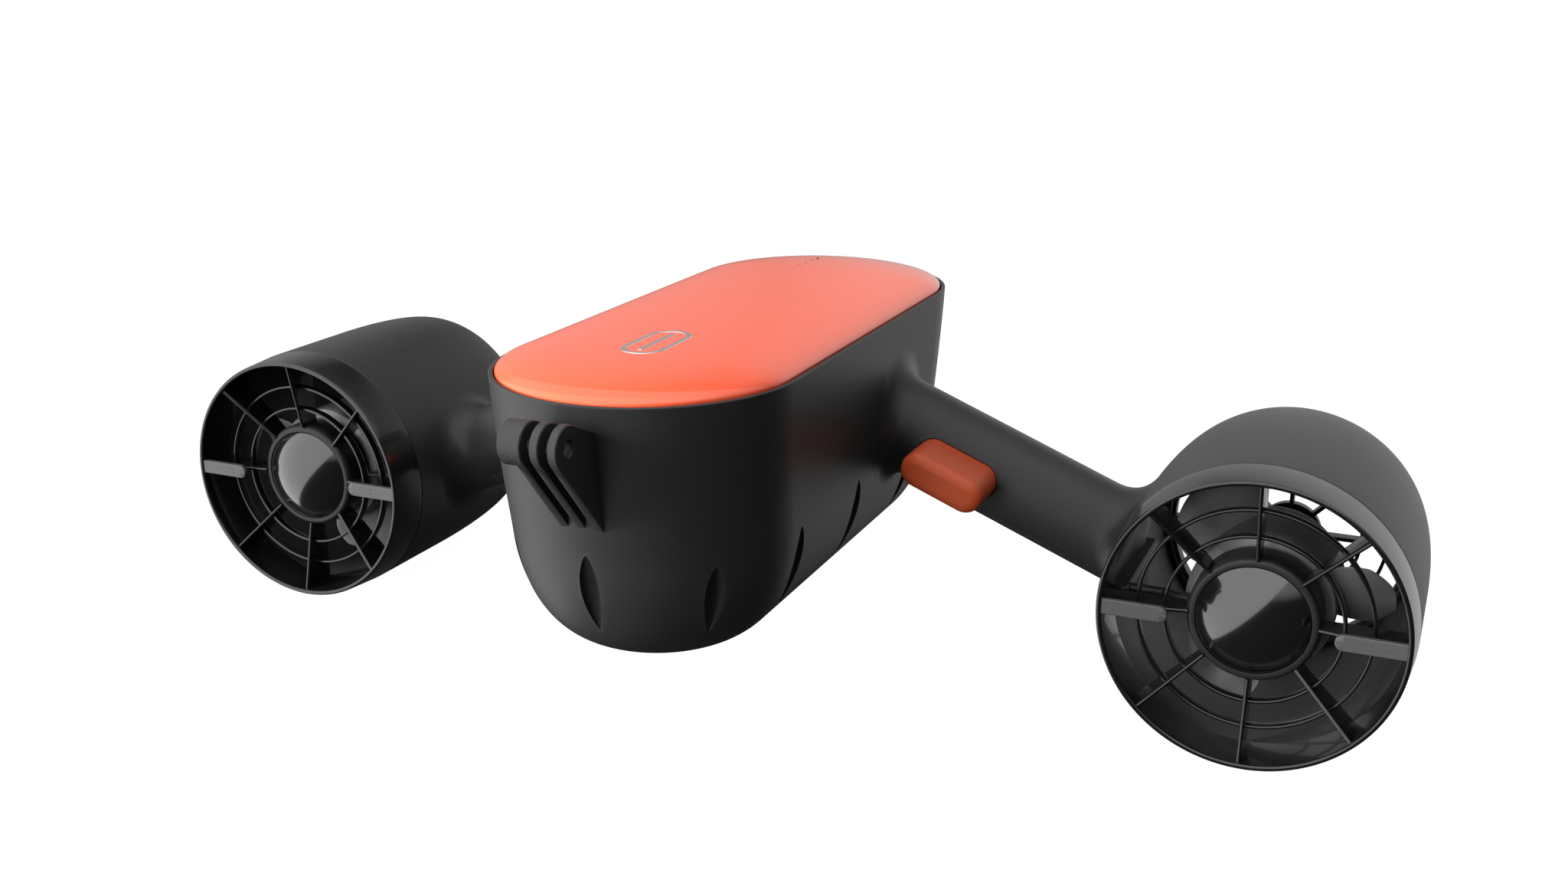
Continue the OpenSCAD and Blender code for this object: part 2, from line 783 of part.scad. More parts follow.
module duct(s) color(shell_black) at_duct(s) difference() {
    union() {
        along_y(0) rotate_extrude() polygon(concat([[bore_r, guard_len], [duct_r, guard_len]], tail(0),
            [for (k = [9:-1:0]) tail(duct_wall)[k]]));
        intersection() {
            translate([-bore_r, 0, 0]) along_y(guard_len) cylinder(r = conduit_r, h = 52);
            along_y(guard_len) cylinder(r = bore_r + eps, h = 60);
        }
    }
    translate([-bore_r, 0, 0]) along_y(guard_len + 3) cylinder(r = cable_r + 0.3, h = 45);
    translate([-bore_r - 12, arm_y + cable_lane, 0]) rotate([0, 90, 0]) cylinder(r = 3.5, h = 12);
    translate([-bore_r, guard_len + 5, 0]) rotate([0, 90, 0]) cylinder(r = cable_r + 0.3, h = 6);
    along_y(rear_seat_y) cylinder(r = rear_guard_r, h = 20);
}

// Blade of a guard from radius r0 to r1, standing on a station
module guard_spoke(r0, r1, y0, y1, w) {
    translate([r0, y0, -w / 2]) cube([r1 - r0, y1 - y0, w]);
}

module guard_ring(r, y, depth, w) {
    along_y(y) tube(r + w / 2, r - w / 2, depth);
}

paddle_r0 = 26.4;
paddle_t = 2;

module front_guard(s) color(gloss_black) at_duct(s) {
    // Ring
    along_y(0) rotate_extrude() polygon([[rim_r - 1.7, 0], [rim_r, 0], [duct_r, guard_len],
        [bore_r, guard_len]]);
    // Spokes at every eighth of a turn; the two level ones stop behind the flat paddles
    for (k = [0:spokes - 1]) rotate([0, k * 360 / spokes, 0])
        guard_spoke(hub_r - 0.5, rim_r - 1.9, hub_y, base_y - 4, spoke_w);
    for (m = [-1, 1]) translate([0, 0.6, 0]) {
        translate([m > 0 ? paddle_r0 + paddle_h / 2 : -rim_r + 1.9, 0, -paddle_h / 2])
            cube([rim_r - 1.9 - paddle_r0 - paddle_h / 2, paddle_t, paddle_h]);
        translate([m * (paddle_r0 + paddle_h / 2), 0, 0]) along_y(0)
            cylinder(r = paddle_h / 2, h = paddle_t);
        translate([m > 0 ? paddle_r0 + 3 : -rim_r + 2.5, 0, -spoke_w / 2])
            cube([rim_r - 5.5 - paddle_r0, hub_y, spoke_w]);
    }
    guard_ring(ring_r_out, hub_y + 1, 3, 1.1);
    guard_ring(ring_r_in, hub_y + 1, 3, 1.1);
    // Hub with the motor's seat
    along_y(hub_y) tube(hub_r, dome_r + 0.1, plate_y - hub_y);
    along_y(plate_y - eps) difference() {
        cylinder(r = hub_r, h = base_y - plate_y + eps);
        translate([0, 0, -1]) cylinder(r = sleeve_r + 1, h = 10);
        for (k = [0:2]) rotate([0, 0, 60 + k * 120]) translate([base_screw_r, 0, -1])
            cylinder(r = screw_r + 0.05, h = 10);
    }
}

dome_r = 18.6;
dome_h = 7.6;
dome_base_y = hub_y + 1.2;

module nose_dome(s) color(gloss_black) at_duct(s) {
    ball_r = (dome_r * dome_r + dome_h * dome_h) / (2 * dome_h);
    intersection() {
        translate([0, dome_base_y - dome_h + ball_r, 0]) sphere(ball_r, $fn = 96);
        along_y(-20) cylinder(r = dome_r, h = 20 + dome_base_y);
    }
    along_y(dome_base_y - eps) tube(dome_r, dome_r - 1.5, plate_y - dome_base_y);
}

module rear_guard(s) color(shell_black) at_duct(s) {
    along_y(rear_seat_y) tube(rear_guard_r - 0.1, rear_guard_r - 2, duct_len - rear_seat_y - 0.3);
    for (k = [0:spokes - 1]) rotate([0, k * 360 / spokes, 0])
        guard_spoke(11, rear_guard_r - 1.5, rear_seat_y, duct_len - 1, spoke_w);
    for (r = [ring_r_out - 3, ring_r_in - 3]) guard_ring(r, rear_seat_y + 2, 3, 1.1);
    along_y(rear_seat_y - 1) cylinder(r1 = 12, r2 = 10, h = 6.5);
}

// ---------- thruster ----------

module motor_base(s) color(metal) at_duct(s) {
    along_y(base_y) difference() {
        cylinder(r = 17, h = flange_t);
        translate([0, 0, -1]) cylinder(r = bearing_r, h = 10);
        for (k = [0:2]) rotate([0, 0, 60 + k * 120]) translate([base_screw_r, 0, -1])
            cylinder(r = screw_r + 0.1, h = 10);
    }
    along_y(base_y) tube(sleeve_r, bearing_r, sleeve_end - base_y);
}

module motor_screws(s) color(metal) at_duct(s) for (k = [0:2]) along_y(plate_y + 0.5)
    rotate([0, 0, 60 + k * 120]) translate([base_screw_r, 0, 0]) {
        cylinder(r = screw_r, h = base_y + flange_t - plate_y - 0.5 + eps);
        translate([0, 0, base_y + flange_t - plate_y - 0.5]) cylinder(r = 2.4, h = 1.4);
    }

slots = 9;

module motor_stator(s) color("peru") at_duct(s) along_y(26) difference() {
    cylinder(r = stator_r, h = 14);
    translate([0, 0, -1]) cylinder(r = sleeve_r, h = 20);
    for (k = [1:slots]) rotate([0, 0, k * 360 / slots]) translate([11.6, 0, -1]) cylinder(r = 1.9, h = 20);
}

module motor_bearings(s) color(metal) at_duct(s) for (y = [24, 37]) along_y(y)
    tube(bearing_r, shaft_r + fit, 4);

module shaft_seal(s) color(seal_grey) at_duct(s) along_y(41.5) tube(bearing_r, shaft_r + fit, 2.2);

module motor_shaft(s) color(metal) at_duct(s) along_y(base_y + 2) cylinder(r = shaft_r, h = 38);

module motor_rotor(s) color("slategray") at_duct(s) {
    along_y(25) tube(bell_r, bell_r - 2, bell_end - 25 - 2.9);
    along_y(bell_end - 3) tube(bell_r, shaft_r, 3);
    for (k = [1:12]) rotate([0, k * 30, 0]) intersection() {
        along_y(26) tube(bell_r - 2 + eps, stator_r + 0.5, 14);
        translate([-3.2, 20, 0]) cube([6.4, 30, 30]);
    }
}

blade_turn = 84;
blade_mid_y = 38;
blade_t = 2.6;

// Broad rounded blade, flat in its own plane, along +Z and pitched about its own axis
module blade() {
    rotate([0, 0, blade_pitch]) rotate([90, 0, 0]) translate([0, 0, -blade_t / 2])
        linear_extrude(blade_t) intersection() {
            translate([0, 31]) circle(14.5);
            translate([-20, prop_hub_r - 4]) square([40, 40]);
        }
}

module propeller(s) color([0.12, 0.12, 0.13]) at_duct(s) difference() {
    union() {
        along_y(prop_y) rotate_extrude() polygon(concat(
            [[0, 0], [prop_hub_r, 0], [prop_hub_r, 30]],
            [for (a = [15:15:75])
                [prop_hub_r - 13 * (1 - cos(a)), 30 + (spinner_y - prop_y - 30) * sin(a)]],
            [[prop_hub_r - 13, spinner_y - prop_y], [0, spinner_y - prop_y]]));
        intersection() {
            for (k = [1:blades]) rotate([0, k * 360 / blades + blade_turn, 0])
                translate([0, blade_mid_y, 0]) blade();
            along_y(0) cylinder(r = blade_r, h = 80);
        }
    }
    along_y(prop_y - 1) cylinder(r = bell_r + 0.6, h = prop_plate_y - prop_y + 1);
    along_y(prop_plate_y - 1) cylinder(r = shaft_r, h = 40);
    along_y(nut_y) cylinder(r = 6.5, h = 40);
}

module propeller_nut(s) color(metal) at_duct(s) along_y(nut_y) hex_nut(4.6, shaft_r, 4);

// ---------- nodes ----------

hull_tub();
camera_mount();
mount_nut();
cover_gasket();
sealing_plate();
plate_screws();
top_cover();
emblem();
indicator_lights();
control_board();
battery_cradle();
battery_pack();
battery_contacts();
battery_collar();
battery_cap();
cap_seal();
arm(LEFT);  // arm_left
arm_cover(LEFT);  // arm_cover_left
arm_screws(LEFT);  // arm_screws_left
trigger(LEFT);  // trigger_left
trigger_spring(LEFT);  // trigger_spring_left
trigger_magnet(LEFT);  // trigger_magnet_left
sensor_board(LEFT);  // sensor_board_left
motor_cable(LEFT);  // motor_cable_left
duct(LEFT);  // duct_left
front_guard(LEFT);  // front_guard_left
nose_dome(LEFT);  // nose_dome_left
rear_guard(LEFT);  // rear_guard_left
motor_base(LEFT);  // motor_base_left
motor_stator(LEFT);  // motor_stator_left
motor_bearings(LEFT);  // motor_bearings_left
shaft_seal(LEFT);  // shaft_seal_left
motor_screws(LEFT);  // motor_screws_left
motor_rotor(LEFT);  // motor_rotor_left
motor_shaft(LEFT);  // motor_shaft_left
propeller(LEFT);  // propeller_left
propeller_nut(LEFT);  // propeller_nut_left
arm(RIGHT);  // arm_right
arm_cover(RIGHT);  // arm_cover_right
arm_screws(RIGHT);  // arm_screws_right
trigger(RIGHT);  // trigger_right
trigger_spring(RIGHT);  // trigger_spring_right
trigger_magnet(RIGHT);  // trigger_magnet_right
sensor_board(RIGHT);  // sensor_board_right
motor_cable(RIGHT);  // motor_cable_right
duct(RIGHT);  // duct_right
front_guard(RIGHT);  // front_guard_right
nose_dome(RIGHT);  // nose_dome_right
rear_guard(RIGHT);  // rear_guard_right
motor_base(RIGHT);  // motor_base_right
motor_stator(RIGHT);  // motor_stator_right
motor_bearings(RIGHT);  // motor_bearings_right
shaft_seal(RIGHT);  // shaft_seal_right
motor_screws(RIGHT);  // motor_screws_right
motor_rotor(RIGHT);  // motor_rotor_right
motor_shaft(RIGHT);  // motor_shaft_right
propeller(RIGHT);  // propeller_right
propeller_nut(RIGHT);  // propeller_nut_right
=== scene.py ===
import json
import math

import bmesh
import bpy
import numpy as np
from bpy.props import FloatProperty, FloatVectorProperty, IntProperty, PointerProperty
from mathutils import Matrix, Vector


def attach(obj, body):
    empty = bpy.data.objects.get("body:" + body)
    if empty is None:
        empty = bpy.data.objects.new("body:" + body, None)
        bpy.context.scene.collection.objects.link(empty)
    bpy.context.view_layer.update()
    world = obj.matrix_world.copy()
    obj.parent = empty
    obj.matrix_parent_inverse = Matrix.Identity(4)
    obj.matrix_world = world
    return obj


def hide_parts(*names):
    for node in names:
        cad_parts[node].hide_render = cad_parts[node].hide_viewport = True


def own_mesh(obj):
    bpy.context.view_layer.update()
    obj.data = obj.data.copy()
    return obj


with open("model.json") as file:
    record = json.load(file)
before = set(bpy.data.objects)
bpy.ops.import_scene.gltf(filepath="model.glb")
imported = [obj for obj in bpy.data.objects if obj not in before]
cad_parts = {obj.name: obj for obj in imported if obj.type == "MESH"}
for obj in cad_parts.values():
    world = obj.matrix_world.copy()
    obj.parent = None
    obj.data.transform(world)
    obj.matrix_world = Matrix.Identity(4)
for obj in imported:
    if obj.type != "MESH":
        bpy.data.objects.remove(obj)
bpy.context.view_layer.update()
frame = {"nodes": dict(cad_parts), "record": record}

bl_info = {
    "name": "Underwater scooter",
    "version": (1, 0, 0),
    "blender": (4, 5, 0),
    "location": "View3D > Sidebar > Scooter",
    "description": "Builds the visible pieces of an underwater scooter around its packed frame",
    "category": "Object",
}

MM = 0.001
# Stations are millimetres from a point midway between the two ducts' front rims
MID_Y = 17.0
DUCT_R = 51.15
DUCT_X = 191.7
RIM_Z = 79.65
SIDES = {"left": -1.0, "right": 1.0}
DROOP = math.radians(22.0)
ARM_ROOT = np.array([50.0, 56.8, 39.85])
# Hull: half width and the bow's and stern's arc centres at the rim, then at the shoulder, and the keel
HULL_R, BOW_Y, STERN_Y = 52.25, -45.8, 96.8
SHOULDER_R, SHOULDER_BOW, SHOULDER_STERN, SHOULDER_Z = 49.85, -40.45, 89.1, 25.15
KEEL_Z = -15.8
BATTERY_Z = 29.0
# Camera mount: station of the pivot (along, up), its bore and the step from finger to finger
PIVOT = np.array([-111.0, 70.4])
BORE_R = 2.6
FINGER_PITCH = 6.2
# Triggers: place along the handle, half the straight part of the pill, and travel
TRIGGER_X = 31.5
TRIGGER_HALF = 9.5
# Ducts: where the tail starts to taper, its length and how much it closes in
TAIL_Y, TAIL_LENGTH, TAIL_CLOSE = 59.3, 45.0, 5.0
THIN_RING_DEPTH, THIN_RING_WIDTH = 3.4, 1.15
SPOKES = 8
BLADE_TURN = math.radians(84)
MERGE = 2e-6


# ---------- sizes and colours ----------

def length(name, description, default):
    return FloatProperty(name=name, description=description, default=default * MM,
                         min=0.0, unit="LENGTH", precision=4)


def colour(name, description, default):
    return FloatVectorProperty(name=name, description=description, default=default,
                               size=3, min=0.0, max=1.0, subtype="COLOR")


class ScooterSizes(bpy.types.PropertyGroup):
    rim_width: length("Rim width", "Width of the hull's rim band around the cover", 1.55)
    cover_gap: length("Cover gap", "Gap between the rim band and the cover", 0.5)
    crown: length("Crown", "Height of the cover above the rim", 6.5)
    flute_width: length("Flute width", "Half the width of a flute at its widest", 3.6)
    flute_depth: length("Flute depth", "Depth of a flute below the line between its tips", 2.2)
    arm_radius: length("Arm radius", "Outside radius of a handle tube", 16.95)
    root_fillet: length("Root fillet", "Reach of the fillet between a handle and the hull", 9.5)
    tip_fillet: length("Tip fillet", "Reach of the fillet between a handle and its duct", 11.5)
    finger: length("Finger thickness", "Thickness of a camera mount finger", 3.1)
    spoke: length("Spoke thickness", "Thickness of a guard spoke", 1.4)
    dome: length("Dome height", "Height of the glossy dome in a front guard", 7.6)
    blades: IntProperty(name="Blades", description="Number of propeller blades", default=3,
                        min=2, max=6)
    pitch: FloatProperty(name="Blade pitch", description="Pitch of a blade at its middle",
                         default=math.radians(38.0), subtype="ANGLE")


class ScooterColours(bpy.types.PropertyGroup):
    shell: colour("Shell", "Satin charcoal of the hull, handles and ducts", (0.023, 0.023, 0.0235))
    gloss: colour("Guards", "Gloss black of the guards and domes", (0.004, 0.004, 0.0045))
    cover: colour("Cover", "Coral of the cover", (0.90, 0.105, 0.036))
    trigger: colour("Trigger", "Burnt orange of the triggers", (0.40, 0.060, 0.018))
    floor: colour("Floor", "Pale floor", (0.92, 0.92, 0.92))


def sizes():
    return bpy.context.scene.scooter_sizes


def colours():
    return bpy.context.scene.scooter_colours


def mm(size):
    return size / MM


# ---------- surfaces ----------

def place(points):
    """Stations in millimetres to the frame in metres."""
    return (np.asarray(points, float) + (0.0, -MID_Y, DUCT_R)) * MM


def at_side(points, side):
    """A shape drawn on the right, mirrored for the left."""
    return np.asarray(points, float) * (SIDES[side], 1.0, 1.0)


def at_duct(points, side):
    """Points about a duct's axis, Y along it, moved to that duct."""
    return at_side(np.asarray(points, float) + (DUCT_X, 0.0, 0.0), side)


def from_arm(points):
    """Arm frame to stations: X runs down the handle, turned by the droop about Y."""
    p = np.asarray(points, float)
    c, s = math.cos(DROOP), math.sin(DROOP)
    x, z = p[..., 0], p[..., 2]
    return np.stack([x * c + z * s, p[..., 1], -x * s + z * c], -1) + ARM_ROOT


def sheet_of(points, closed_u=True, closed_v=False):
    """Vertices and quads of a grid of points, whose rows (u) and columns (v) may close."""
    nu, nv = points.shape[:2]
    iu = np.arange(nu if closed_u else nu - 1)
    iv = np.arange(nv if closed_v else nv - 1)
    a, b = np.meshgrid(iu, iv, indexing="ij")
    a2, b2 = (a + 1) % nu, (b + 1) % nv
    quads = np.stack([a * nv + b, a2 * nv + b, a2 * nv + b2, a * nv + b2], -1).reshape(-1, 4)
    return points.reshape(-1, 3), quads


def capped(points):
    """A grid closed along u, with each end of v drawn to its middle so that the form is solid."""
    ends = [np.repeat(points[:, k].mean(0)[None], len(points), 0)[:, None] for k in (0, -1)]
    return sheet_of(np.concatenate([ends[0], points, ends[1]], 1))


def revolve(profile, n, loop=True):
    """Turns (radius, station) points about the Y axis; a loop of them closes on itself."""
    a = np.linspace(0, 2 * np.pi, n, endpoint=False)[:, None]
    r, y = np.asarray(profile, float).T
    points = np.stack([r * np.cos(a), np.broadcast_to(y, (n, len(y))), r * np.sin(a)], -1)
    return sheet_of(points, True, loop)


def rounded(corners, radii, steps=5, loop=True):
    """A polygon whose corners are replaced by quadratic arcs that start and end a radius away."""
    p = np.asarray(corners, float)
    radii = np.broadcast_to(radii, len(p))
    out = []
    for k, radius in enumerate(radii):
        if radius == 0 or (not loop and k in (0, len(p) - 1)):
            out.append(p[k][None])
            continue
        ways = [p[k - 1] - p[k], p[(k + 1) % len(p)] - p[k]]
        starts = [p[k] + w * min(radius / np.linalg.norm(w), 0.49) for w in ways]
        t = np.linspace(0, 1, steps)[:, None]
        out.append((1 - t) ** 2 * starts[0] + 2 * t * (1 - t) * p[k] + t ** 2 * starts[1])
    return np.concatenate(out)


def stack(outlines, heights):
    """Closed outlines (levels, points, 2) piled along Y at the given stations and capped."""
    o = np.asarray(outlines, float)
    y = np.broadcast_to(np.asarray(heights, float)[:, None], o.shape[:2])
    return capped(np.stack([o[..., 0], y, o[..., 1]], -1).transpose(1, 0, 2))


def pill(radius, half, n=28):
    """Outline of a pill: half circles of the radius at plus and minus half along the first axis."""
    a = np.linspace(-np.pi / 2, np.pi / 2, n)
    cap = np.stack([half + radius * np.cos(a), radius * np.sin(a)], -1)
    return np.concatenate([cap, -cap])


def block(lo, hi, radius=0.3):
    """A box whose edges along Y are rounded and whose two Y faces are eased in."""
    lo, hi = np.asarray(lo, float), np.asarray(hi, float)
    corners = [(lo[0], lo[2]), (hi[0], lo[2]), (hi[0], hi[2]), (lo[0], hi[2])]
    outer = rounded(corners, radius)
    middle = outer.mean(0)
    half = (hi[[0, 2]] - lo[[0, 2]]) / 2
    ease = radius * 0.6
    eased = middle + (outer - middle) * (1 - ease / half)
    return stack([eased, outer, outer, eased], [lo[1], lo[1] + ease, hi[1] - ease, hi[1]])


def turned(shape, angle):
    """A shape turned about the Y axis."""
    c, s = np.cos(angle), np.sin(angle)
    x, y, z = np.moveaxis(np.asarray(shape[0], float), -1, 0)
    return np.stack([x * c + z * s, y, -x * s + z * c], -1), shape[1]


def moved(shape, step):
    return shape[0] + np.asarray(step, float), shape[1]


def solid_object(name, shapes, transform=None, tool=False):
    """One object from several (vertices, quads) shapes in stations: doubles merged, faces outwards.
    A cutting tool keeps its smallest edges."""
    mesh = bpy.data.meshes.new(name)
    starts = np.cumsum([0] + [len(v) for v, _ in shapes])
    points = np.concatenate([v for v, _ in shapes])
    quads = np.concatenate([q + s for (_, q), s in zip(shapes, starts)])
    if transform is not None:
        points = transform(points)
    mesh.from_pydata(place(points), [], quads.tolist())
    bm = bmesh.new()
    bm.from_mesh(mesh)
    bmesh.ops.remove_doubles(bm, verts=bm.verts, dist=MERGE)
    if not tool:
        bmesh.ops.dissolve_degenerate(bm, edges=bm.edges, dist=1e-7)
    bmesh.ops.recalc_face_normals(bm, faces=bm.faces)
    bm.to_mesh(mesh)
    bm.free()
    made = bpy.data.objects.new(name, mesh)
    bpy.context.scene.collection.objects.link(made)
    return made


def shade_edges(mesh, smooth):
    """Smooth shading with edges sharper than the angle, in degrees, kept crisp."""
    mesh.shade_smooth()
    mesh.set_sharp_from_angle(angle=math.radians(smooth))


def mesh_piece(name, shapes, finish, slot=None, body="hull", replaces=(), smooth=35.0,
               transform=None):
    """A visible piece: its finish names the material. The slot argument is not used."""
    piece = solid_object(name, shapes, transform)
    piece.data.materials.append(MATERIALS[finish])
    shade_edges(piece.data, smooth)
    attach(piece, body)
    if replaces:
        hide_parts(*replaces)
    return piece


def side_piece(name, side, shapes, finish, where=at_duct, node=None, **options):
    """A piece of one side, from shapes drawn on the right or about a duct's axis."""
    if node is not None:
        options["replaces"] = [f"{node}_{side}"]
    return mesh_piece(f"{name}_{side}", shapes, finish, transform=lambda p: where(p, side),
                      **options)


def cut(piece, tools, smooth):
    """Takes the tools out of a piece with exact booleans and keeps the result as its mesh."""
    for tool in tools:
        modifier = piece.modifiers.new("cut", "BOOLEAN")
        modifier.operation = "DIFFERENCE"
        modifier.solver = "EXACT"
        modifier.object = tool
    bpy.context.view_layer.update()
    graph = bpy.context.evaluated_depsgraph_get()
    result = bpy.data.meshes.new_from_object(piece.evaluated_get(graph))
    piece.modifiers.clear()
    old = piece.data
    piece.data = result
    bpy.data.meshes.remove(old)
    for tool in tools:
        bpy.data.objects.remove(tool)
    material = result.materials[0]
    result.materials.clear()
    result.materials.append(material)
    result.polygons.foreach_set("material_index", np.zeros(len(result.polygons), np.int32))
    shade_edges(result, smooth)


# ---------- materials ----------

def nodes_of(name):
    """A new material, as (material, nodes, links, shader, object coordinates)."""
    material = bpy.data.materials.new(name)
    material.use_nodes = True
    tree = material.node_tree
    shader = tree.nodes["Principled BSDF"]
    coords = tree.nodes.new("ShaderNodeTexCoord").outputs["Object"]
    return material, tree.nodes, tree.links, shader, coords


def feed(links, value, socket):
    """Links another node's output to a socket, or sets the socket to a number or a colour."""
    if isinstance(value, bpy.types.NodeSocket):
        links.new(value, socket)
    elif isinstance(value, tuple):
        socket.default_value = (*value, 1.0)
    else:
        socket.default_value = value


def noise(nodes, links, coords, scale, detail=3.0, rough=0.55, stretch=None):
    """Noise from 0 to 1, drawn out along one way where a stretch is given."""
    if stretch is not None:
        mapping = nodes.new("ShaderNodeMapping")
        mapping.inputs["Scale"].default_value = stretch
        links.new(coords, mapping.inputs["Vector"])
        coords = mapping.outputs["Vector"]
    node = nodes.new("ShaderNodeTexNoise")
    node.inputs["Scale"].default_value = scale
    node.inputs["Detail"].default_value = detail
    node.inputs["Roughness"].default_value = rough
    links.new(coords, node.inputs["Vector"])
    return node.outputs["Fac"]


def spread(nodes, links, value, low, high, start=0.3, stop=0.7):
    """Low where the value is at start or under, high at stop or over, and even between."""
    node = nodes.new("ShaderNodeMapRange")
    links.new(value, node.inputs["Value"])
    for name, number in (("From Min", start), ("From Max", stop), ("To Min", low), ("To Max", high)):
        node.inputs[name].default_value = number
    return node.outputs["Result"]


def mix_colours(nodes, links, fac, one, two):
    """The first colour at 0 and the second at 1."""
    node = nodes.new("ShaderNodeMix")
    node.data_type = "RGBA"
    for value, name in ((fac, "Factor"), (one, "A"), (two, "B")):
        feed(links, value, node.inputs[name])
    return node.outputs["Result"]


def mix_shaders(nodes, links, fac, one, two):
    """The first shader at 0 and the second at 1."""
    node = nodes.new("ShaderNodeMixShader")
    for value, socket in zip((fac, one, two), node.inputs):
        links.new(value, socket)
    return node.outputs[0]


def maths(nodes, links, operation, one, two):
    """One number from two, by the node's own name for the sum."""
    node = nodes.new("ShaderNodeMath")
    node.operation = operation
    for value, socket in zip((one, two), node.inputs):
        feed(links, value, socket)
    return node.outputs[0]


def bump(nodes, links, shader, height, strength, distance):
    """Raises the surface's shading by a height, over a distance in metres."""
    node = nodes.new("ShaderNodeBump")
    node.inputs["Strength"].default_value = strength
    node.inputs["Distance"].default_value = distance
    links.new(height, node.inputs["Height"])
    links.new(node.outputs["Normal"], shader.inputs["Normal"])


def edge_wear(nodes, links):
    """Where the surface turns sharply outwards, as 0 to 1."""
    pointed = nodes.new("ShaderNodeNewGeometry").outputs["Pointiness"]
    return spread(nodes, links, pointed, 0.0, 1.0, 0.505, 0.56)


def shade(colour_value, factor):
    """A colour made lighter or darker by a factor."""
    return tuple(min(1.0, c * factor) for c in colour_value)


def moulded(name, base, rough, grain, strength, coat=0.0, coat_rough=0.1, variation=0.12,
            edge=1.35, specular=0.5, coat_ior=1.5):
    """Moulded plastic: fine grain in roughness and height, a slow drift of tone, and edges rubbed a
    shade lighter."""
    material, nodes, links, shader, coords = nodes_of(name)
    drift = noise(nodes, links, coords, 28.0, 4.0)
    fine = noise(nodes, links, coords, grain, 2.0, 0.6)
    tone = mix_colours(nodes, links, drift, shade(base, 1 - variation), shade(base, 1 + variation))
    worn = mix_colours(nodes, links, edge_wear(nodes, links), tone, shade(base, edge))
    links.new(worn, shader.inputs["Base Color"])
    links.new(spread(nodes, links, fine, rough - 0.04, rough + 0.04), shader.inputs["Roughness"])
    bump(nodes, links, shader, fine, strength, 0.00012)
    shader.inputs["Specular IOR Level"].default_value = specular
    shader.inputs["Coat Weight"].default_value = coat
    shader.inputs["Coat Roughness"].default_value = coat_rough
    shader.inputs["Coat IOR"].default_value = coat_ior
    return material


def metal(name, base, rough, stretch=(1.0, 1.0, 1.0), grain=900.0, strength=0.15):
    """Machined metal: streaks along one way, small changes of tone and roughness."""
    material, nodes, links, shader, coords = nodes_of(name)
    streak = noise(nodes, links, coords, grain, 3.0, 0.6, stretch)
    tone = mix_colours(nodes, links, streak, shade(base, 0.82), shade(base, 1.08))
    links.new(tone, shader.inputs["Base Color"])
    shader.inputs["Metallic"].default_value = 1.0
    links.new(spread(nodes, links, streak, rough - 0.05, rough + 0.08), shader.inputs["Roughness"])
    bump(nodes, links, shader, streak, strength, 0.00005)
    return material


def winding(name):
    """Copper wire laid in fine ridges, with painted shade: the copper is darker in the low grooves
    between the ridges.
    """
    material, nodes, links, shader, coords = nodes_of(name)
    wave = nodes.new("ShaderNodeTexWave")
    wave.bands_direction = "Y"
    wave.inputs["Scale"].default_value = 700.0
    wave.inputs["Distortion"].default_value = 1.5
    links.new(coords, wave.inputs["Vector"])
    # painted shade: the copper is darkened where the ridges are low, between the turns of wire
    copper = mix_colours(nodes, links, wave.outputs["Fac"], (0.12, 0.035, 0.012), (0.75, 0.28, 0.10))
    links.new(copper, shader.inputs["Base Color"])
    shader.inputs["Metallic"].default_value = 0.8
    shader.inputs["Roughness"].default_value = 0.35
    bump(nodes, links, shader, wave.outputs["Fac"], 0.5, 0.0002)
    return material


def board_mask(name):
    """Green solder mask with copper-toned tracks showing faintly through it."""
    material, nodes, links, shader, coords = nodes_of(name)
    cells = nodes.new("ShaderNodeTexVoronoi")
    cells.distance = "MANHATTAN"
    cells.inputs["Scale"].default_value = 260.0
    links.new(coords, cells.inputs["Vector"])
    tracks = spread(nodes, links, cells.outputs["Distance"], 0, 1, 0.2, 0.35)
    green = mix_colours(nodes, links, tracks, (0.03, 0.20, 0.08), (0.012, 0.09, 0.035))
    links.new(green, shader.inputs["Base Color"])
    shader.inputs["Roughness"].default_value = 0.3
    bump(nodes, links, shader, cells.outputs["Distance"], 0.15, 0.0001)
    return material


